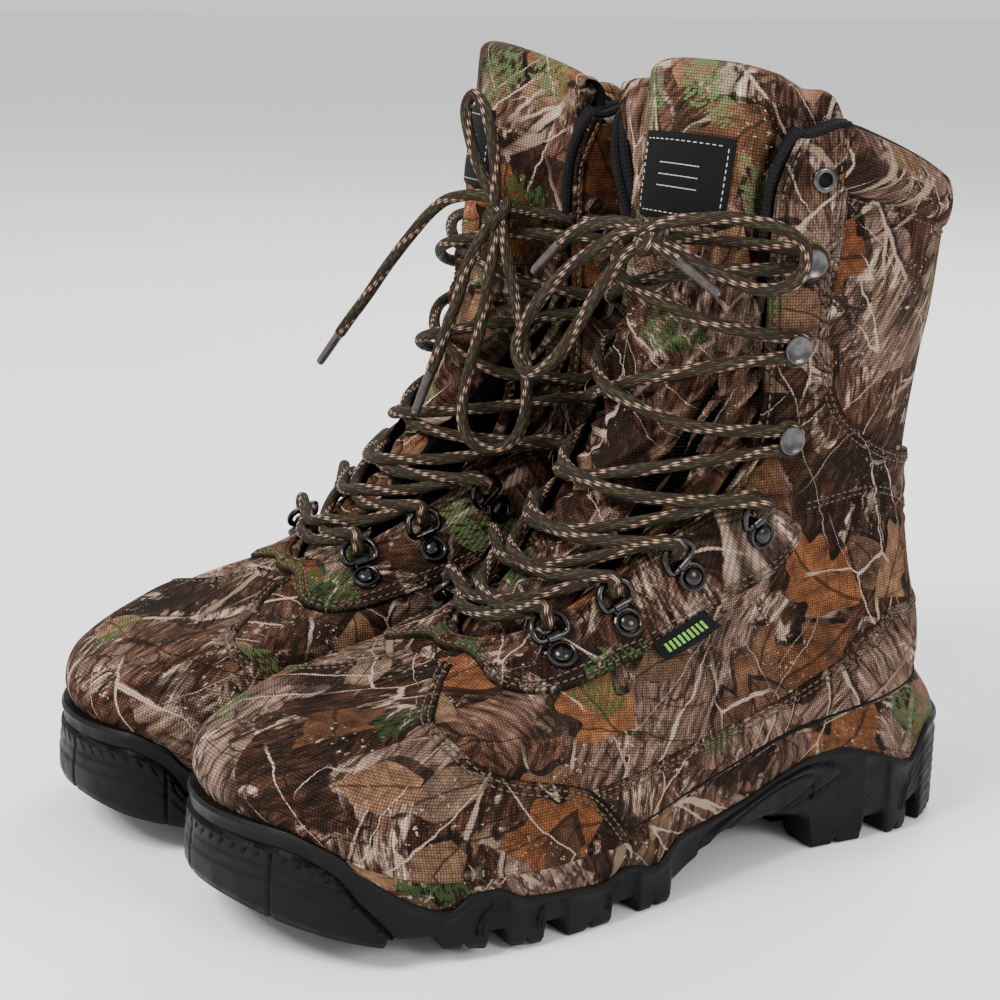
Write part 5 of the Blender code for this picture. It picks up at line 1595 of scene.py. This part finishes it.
def make_laces():
    bar = [skin(*(row_place(0, -1) * (1 - f) + row_place(0, 1) * f), -6.2) for f in (0.3, 0.5, 0.7)]
    for word in BOTH:
        knot = np.array(KNOTS[word], float)
        ends = []
        for start in (-1, 1):
            points, side = strand(start)
            last = points[-1]
            away = knot + (last - knot) * 0.1
            mid = last * 0.5 + away * 0.5
            depth = skin(*np.array([0.5 + side * 0.08, 8.3]), -9.0)
            mid = mid * 0.4 + (mid + (depth - mid) * 0.25) * 0.6
            ends.append(points + [mid, away])
        path = ends[0][::-1] + ring_turn(0, -1)[::-1] + bar + ring_turn(0, 1) + ends[1]
        emit("lace", Soup().add(*cord(resample(path, LACE_STEP))), [BRAID], words=(word,))
        soup = Soup()
        for points, has_tip in BOWS[word]:
            path = resample(points, LACE_STEP)
            if has_tip:
                path, tip = path[:1 - TIP_POINTS], path[-TIP_POINTS:]
                r = np.interp(np.arange(TIP_POINTS), [0, 2, TIP_POINTS - 2, TIP_POINTS - 1], TIP_RADII)
                soup.add(*cord(path))
                soup.add(*tube(tip, r, LACE_SIDES), mat=1)
            else:
                soup.add(*cord(path))
        for (ax, ay, az), tilt, reach in (((0, 0, 0), 0.5, 4.2), ((1.5, 0.5, -1.0), -0.6, 4.4)):
            turn = np.linspace(0, 2 * np.pi, 12, endpoint=False)
            ring = np.column_stack([2.6 * np.cos(turn), 3.4 * np.sin(turn) * 0.8, reach * np.sin(turn)])
            c, s = math.cos(tilt), math.sin(tilt)
            ring = ring @ np.array([[c, 0, s], [0, 1, 0], [-s, 0, c]])
            soup.add(*cord(resample(knot + ring + (ax, ay, az), 0.9, True), True))
        emit("lace_bow", soup, [BRAID, AGLET], words=(word,))


# ---- build ---------------------------------------------------------------------------------------
for make in (make_outsole, make_midsole, make_vamp, make_foxing, make_quarters, make_shaft, make_collar,
             make_lining, make_eyestay, make_side_tag, make_tongue, make_hardware, make_laces):
    make()
emit("stitching", THREAD, [THREAD_MAT], node="")

# pieces that stay as the CAD made them, because nothing of them is seen
INSIDE = {"insole_board": BOARD, "footbed": FOAM, "shank_plate": SHANK, "toe_puff": BOARD,
          "heel_counter": BOARD}
for base_name, look in INSIDE.items():
    for word in BOTH:
        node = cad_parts["%s_%s" % (base_name, word)]
        for material_slot in node.material_slots:
            material_slot.material = look

# ---- floor, light and camera ---------------------------------------------------------------------
floor_mesh = bpy.data.meshes.new("floor")
floor_mesh.from_pydata([(-9, -9, 0), (9, -9, 0), (9, 9, 0), (-9, 9, 0)], [], [(0, 1, 2, 3)])
floor = bpy.data.objects.new("floor", floor_mesh)
floor.location.z = -0.0005              # just clear of the lugs
bpy.context.scene.collection.objects.link(floor)
floor_mat, floor_net, floor_put = new_material("pale_floor", 0.9, specular=0.2)
pale = floor_net.noise(floor_net.place(), 3.0, 2.0)
floor_net.put(floor_put["Base Color"], floor_net.ramp(pale, [(0.3, (0.90,) * 3), (0.7, (0.93,) * 3)]))
floor_mesh.materials.append(floor_mat)

world = bpy.data.worlds.new("studio")
bpy.context.scene.world = world
world.use_nodes = True
background = world.node_tree.nodes["Background"].inputs
background["Color"].default_value, background["Strength"].default_value = (1, 1, 1, 1), 0.95
TARGET = Vector((0.0, 0.0, 0.12))      # where the lamps point


def soft_light(name, where, size, power):
    data = bpy.data.lights.new(name, "AREA")
    data.shape = "RECTANGLE"
    data.size, data.size_y, data.energy = size, size, power
    lamp = bpy.data.objects.new(name, data)
    lamp.location = where
    lamp.rotation_euler = (TARGET - Vector(where)).to_track_quat("-Z", "Y").to_euler()
    bpy.context.scene.collection.objects.link(lamp)


soft_light("key", (0.2, -1.5, 1.7), 0.8, 66)
soft_light("side", (1.7, 0.3, 1.0), 0.6, 16)
soft_light("back", (-0.9, 1.2, 1.6), 0.8, 30)

SENSOR, LENS = 36.0, 78.05
EYE = Vector((0.621157, -0.462228, 0.330581))      # from the left boot's centre, along its own axes
RIGHT, UP = Vector((0.53989, 0.84136, 0.02520)), Vector((-0.22046, 0.11245, 0.96889))
camera_data = bpy.data.cameras.new("camera")
camera_data.sensor_width, camera_data.lens = SENSOR, LENS
camera = bpy.data.objects.new("camera", camera_data)
bpy.context.scene.collection.objects.link(camera)
left_centre = Vector(PLACES["left"].translation)
spin = Matrix.Rotation(SPLAY, 3, "Z")
right, up = spin @ RIGHT, spin @ UP
look = Matrix((right, up, right.cross(up))).transposed().to_4x4()
look.translation = left_centre + spin @ EYE
camera.matrix_world = look
camera_data.clip_start, camera_data.clip_end = 0.02, 20
bpy.context.scene.camera = camera
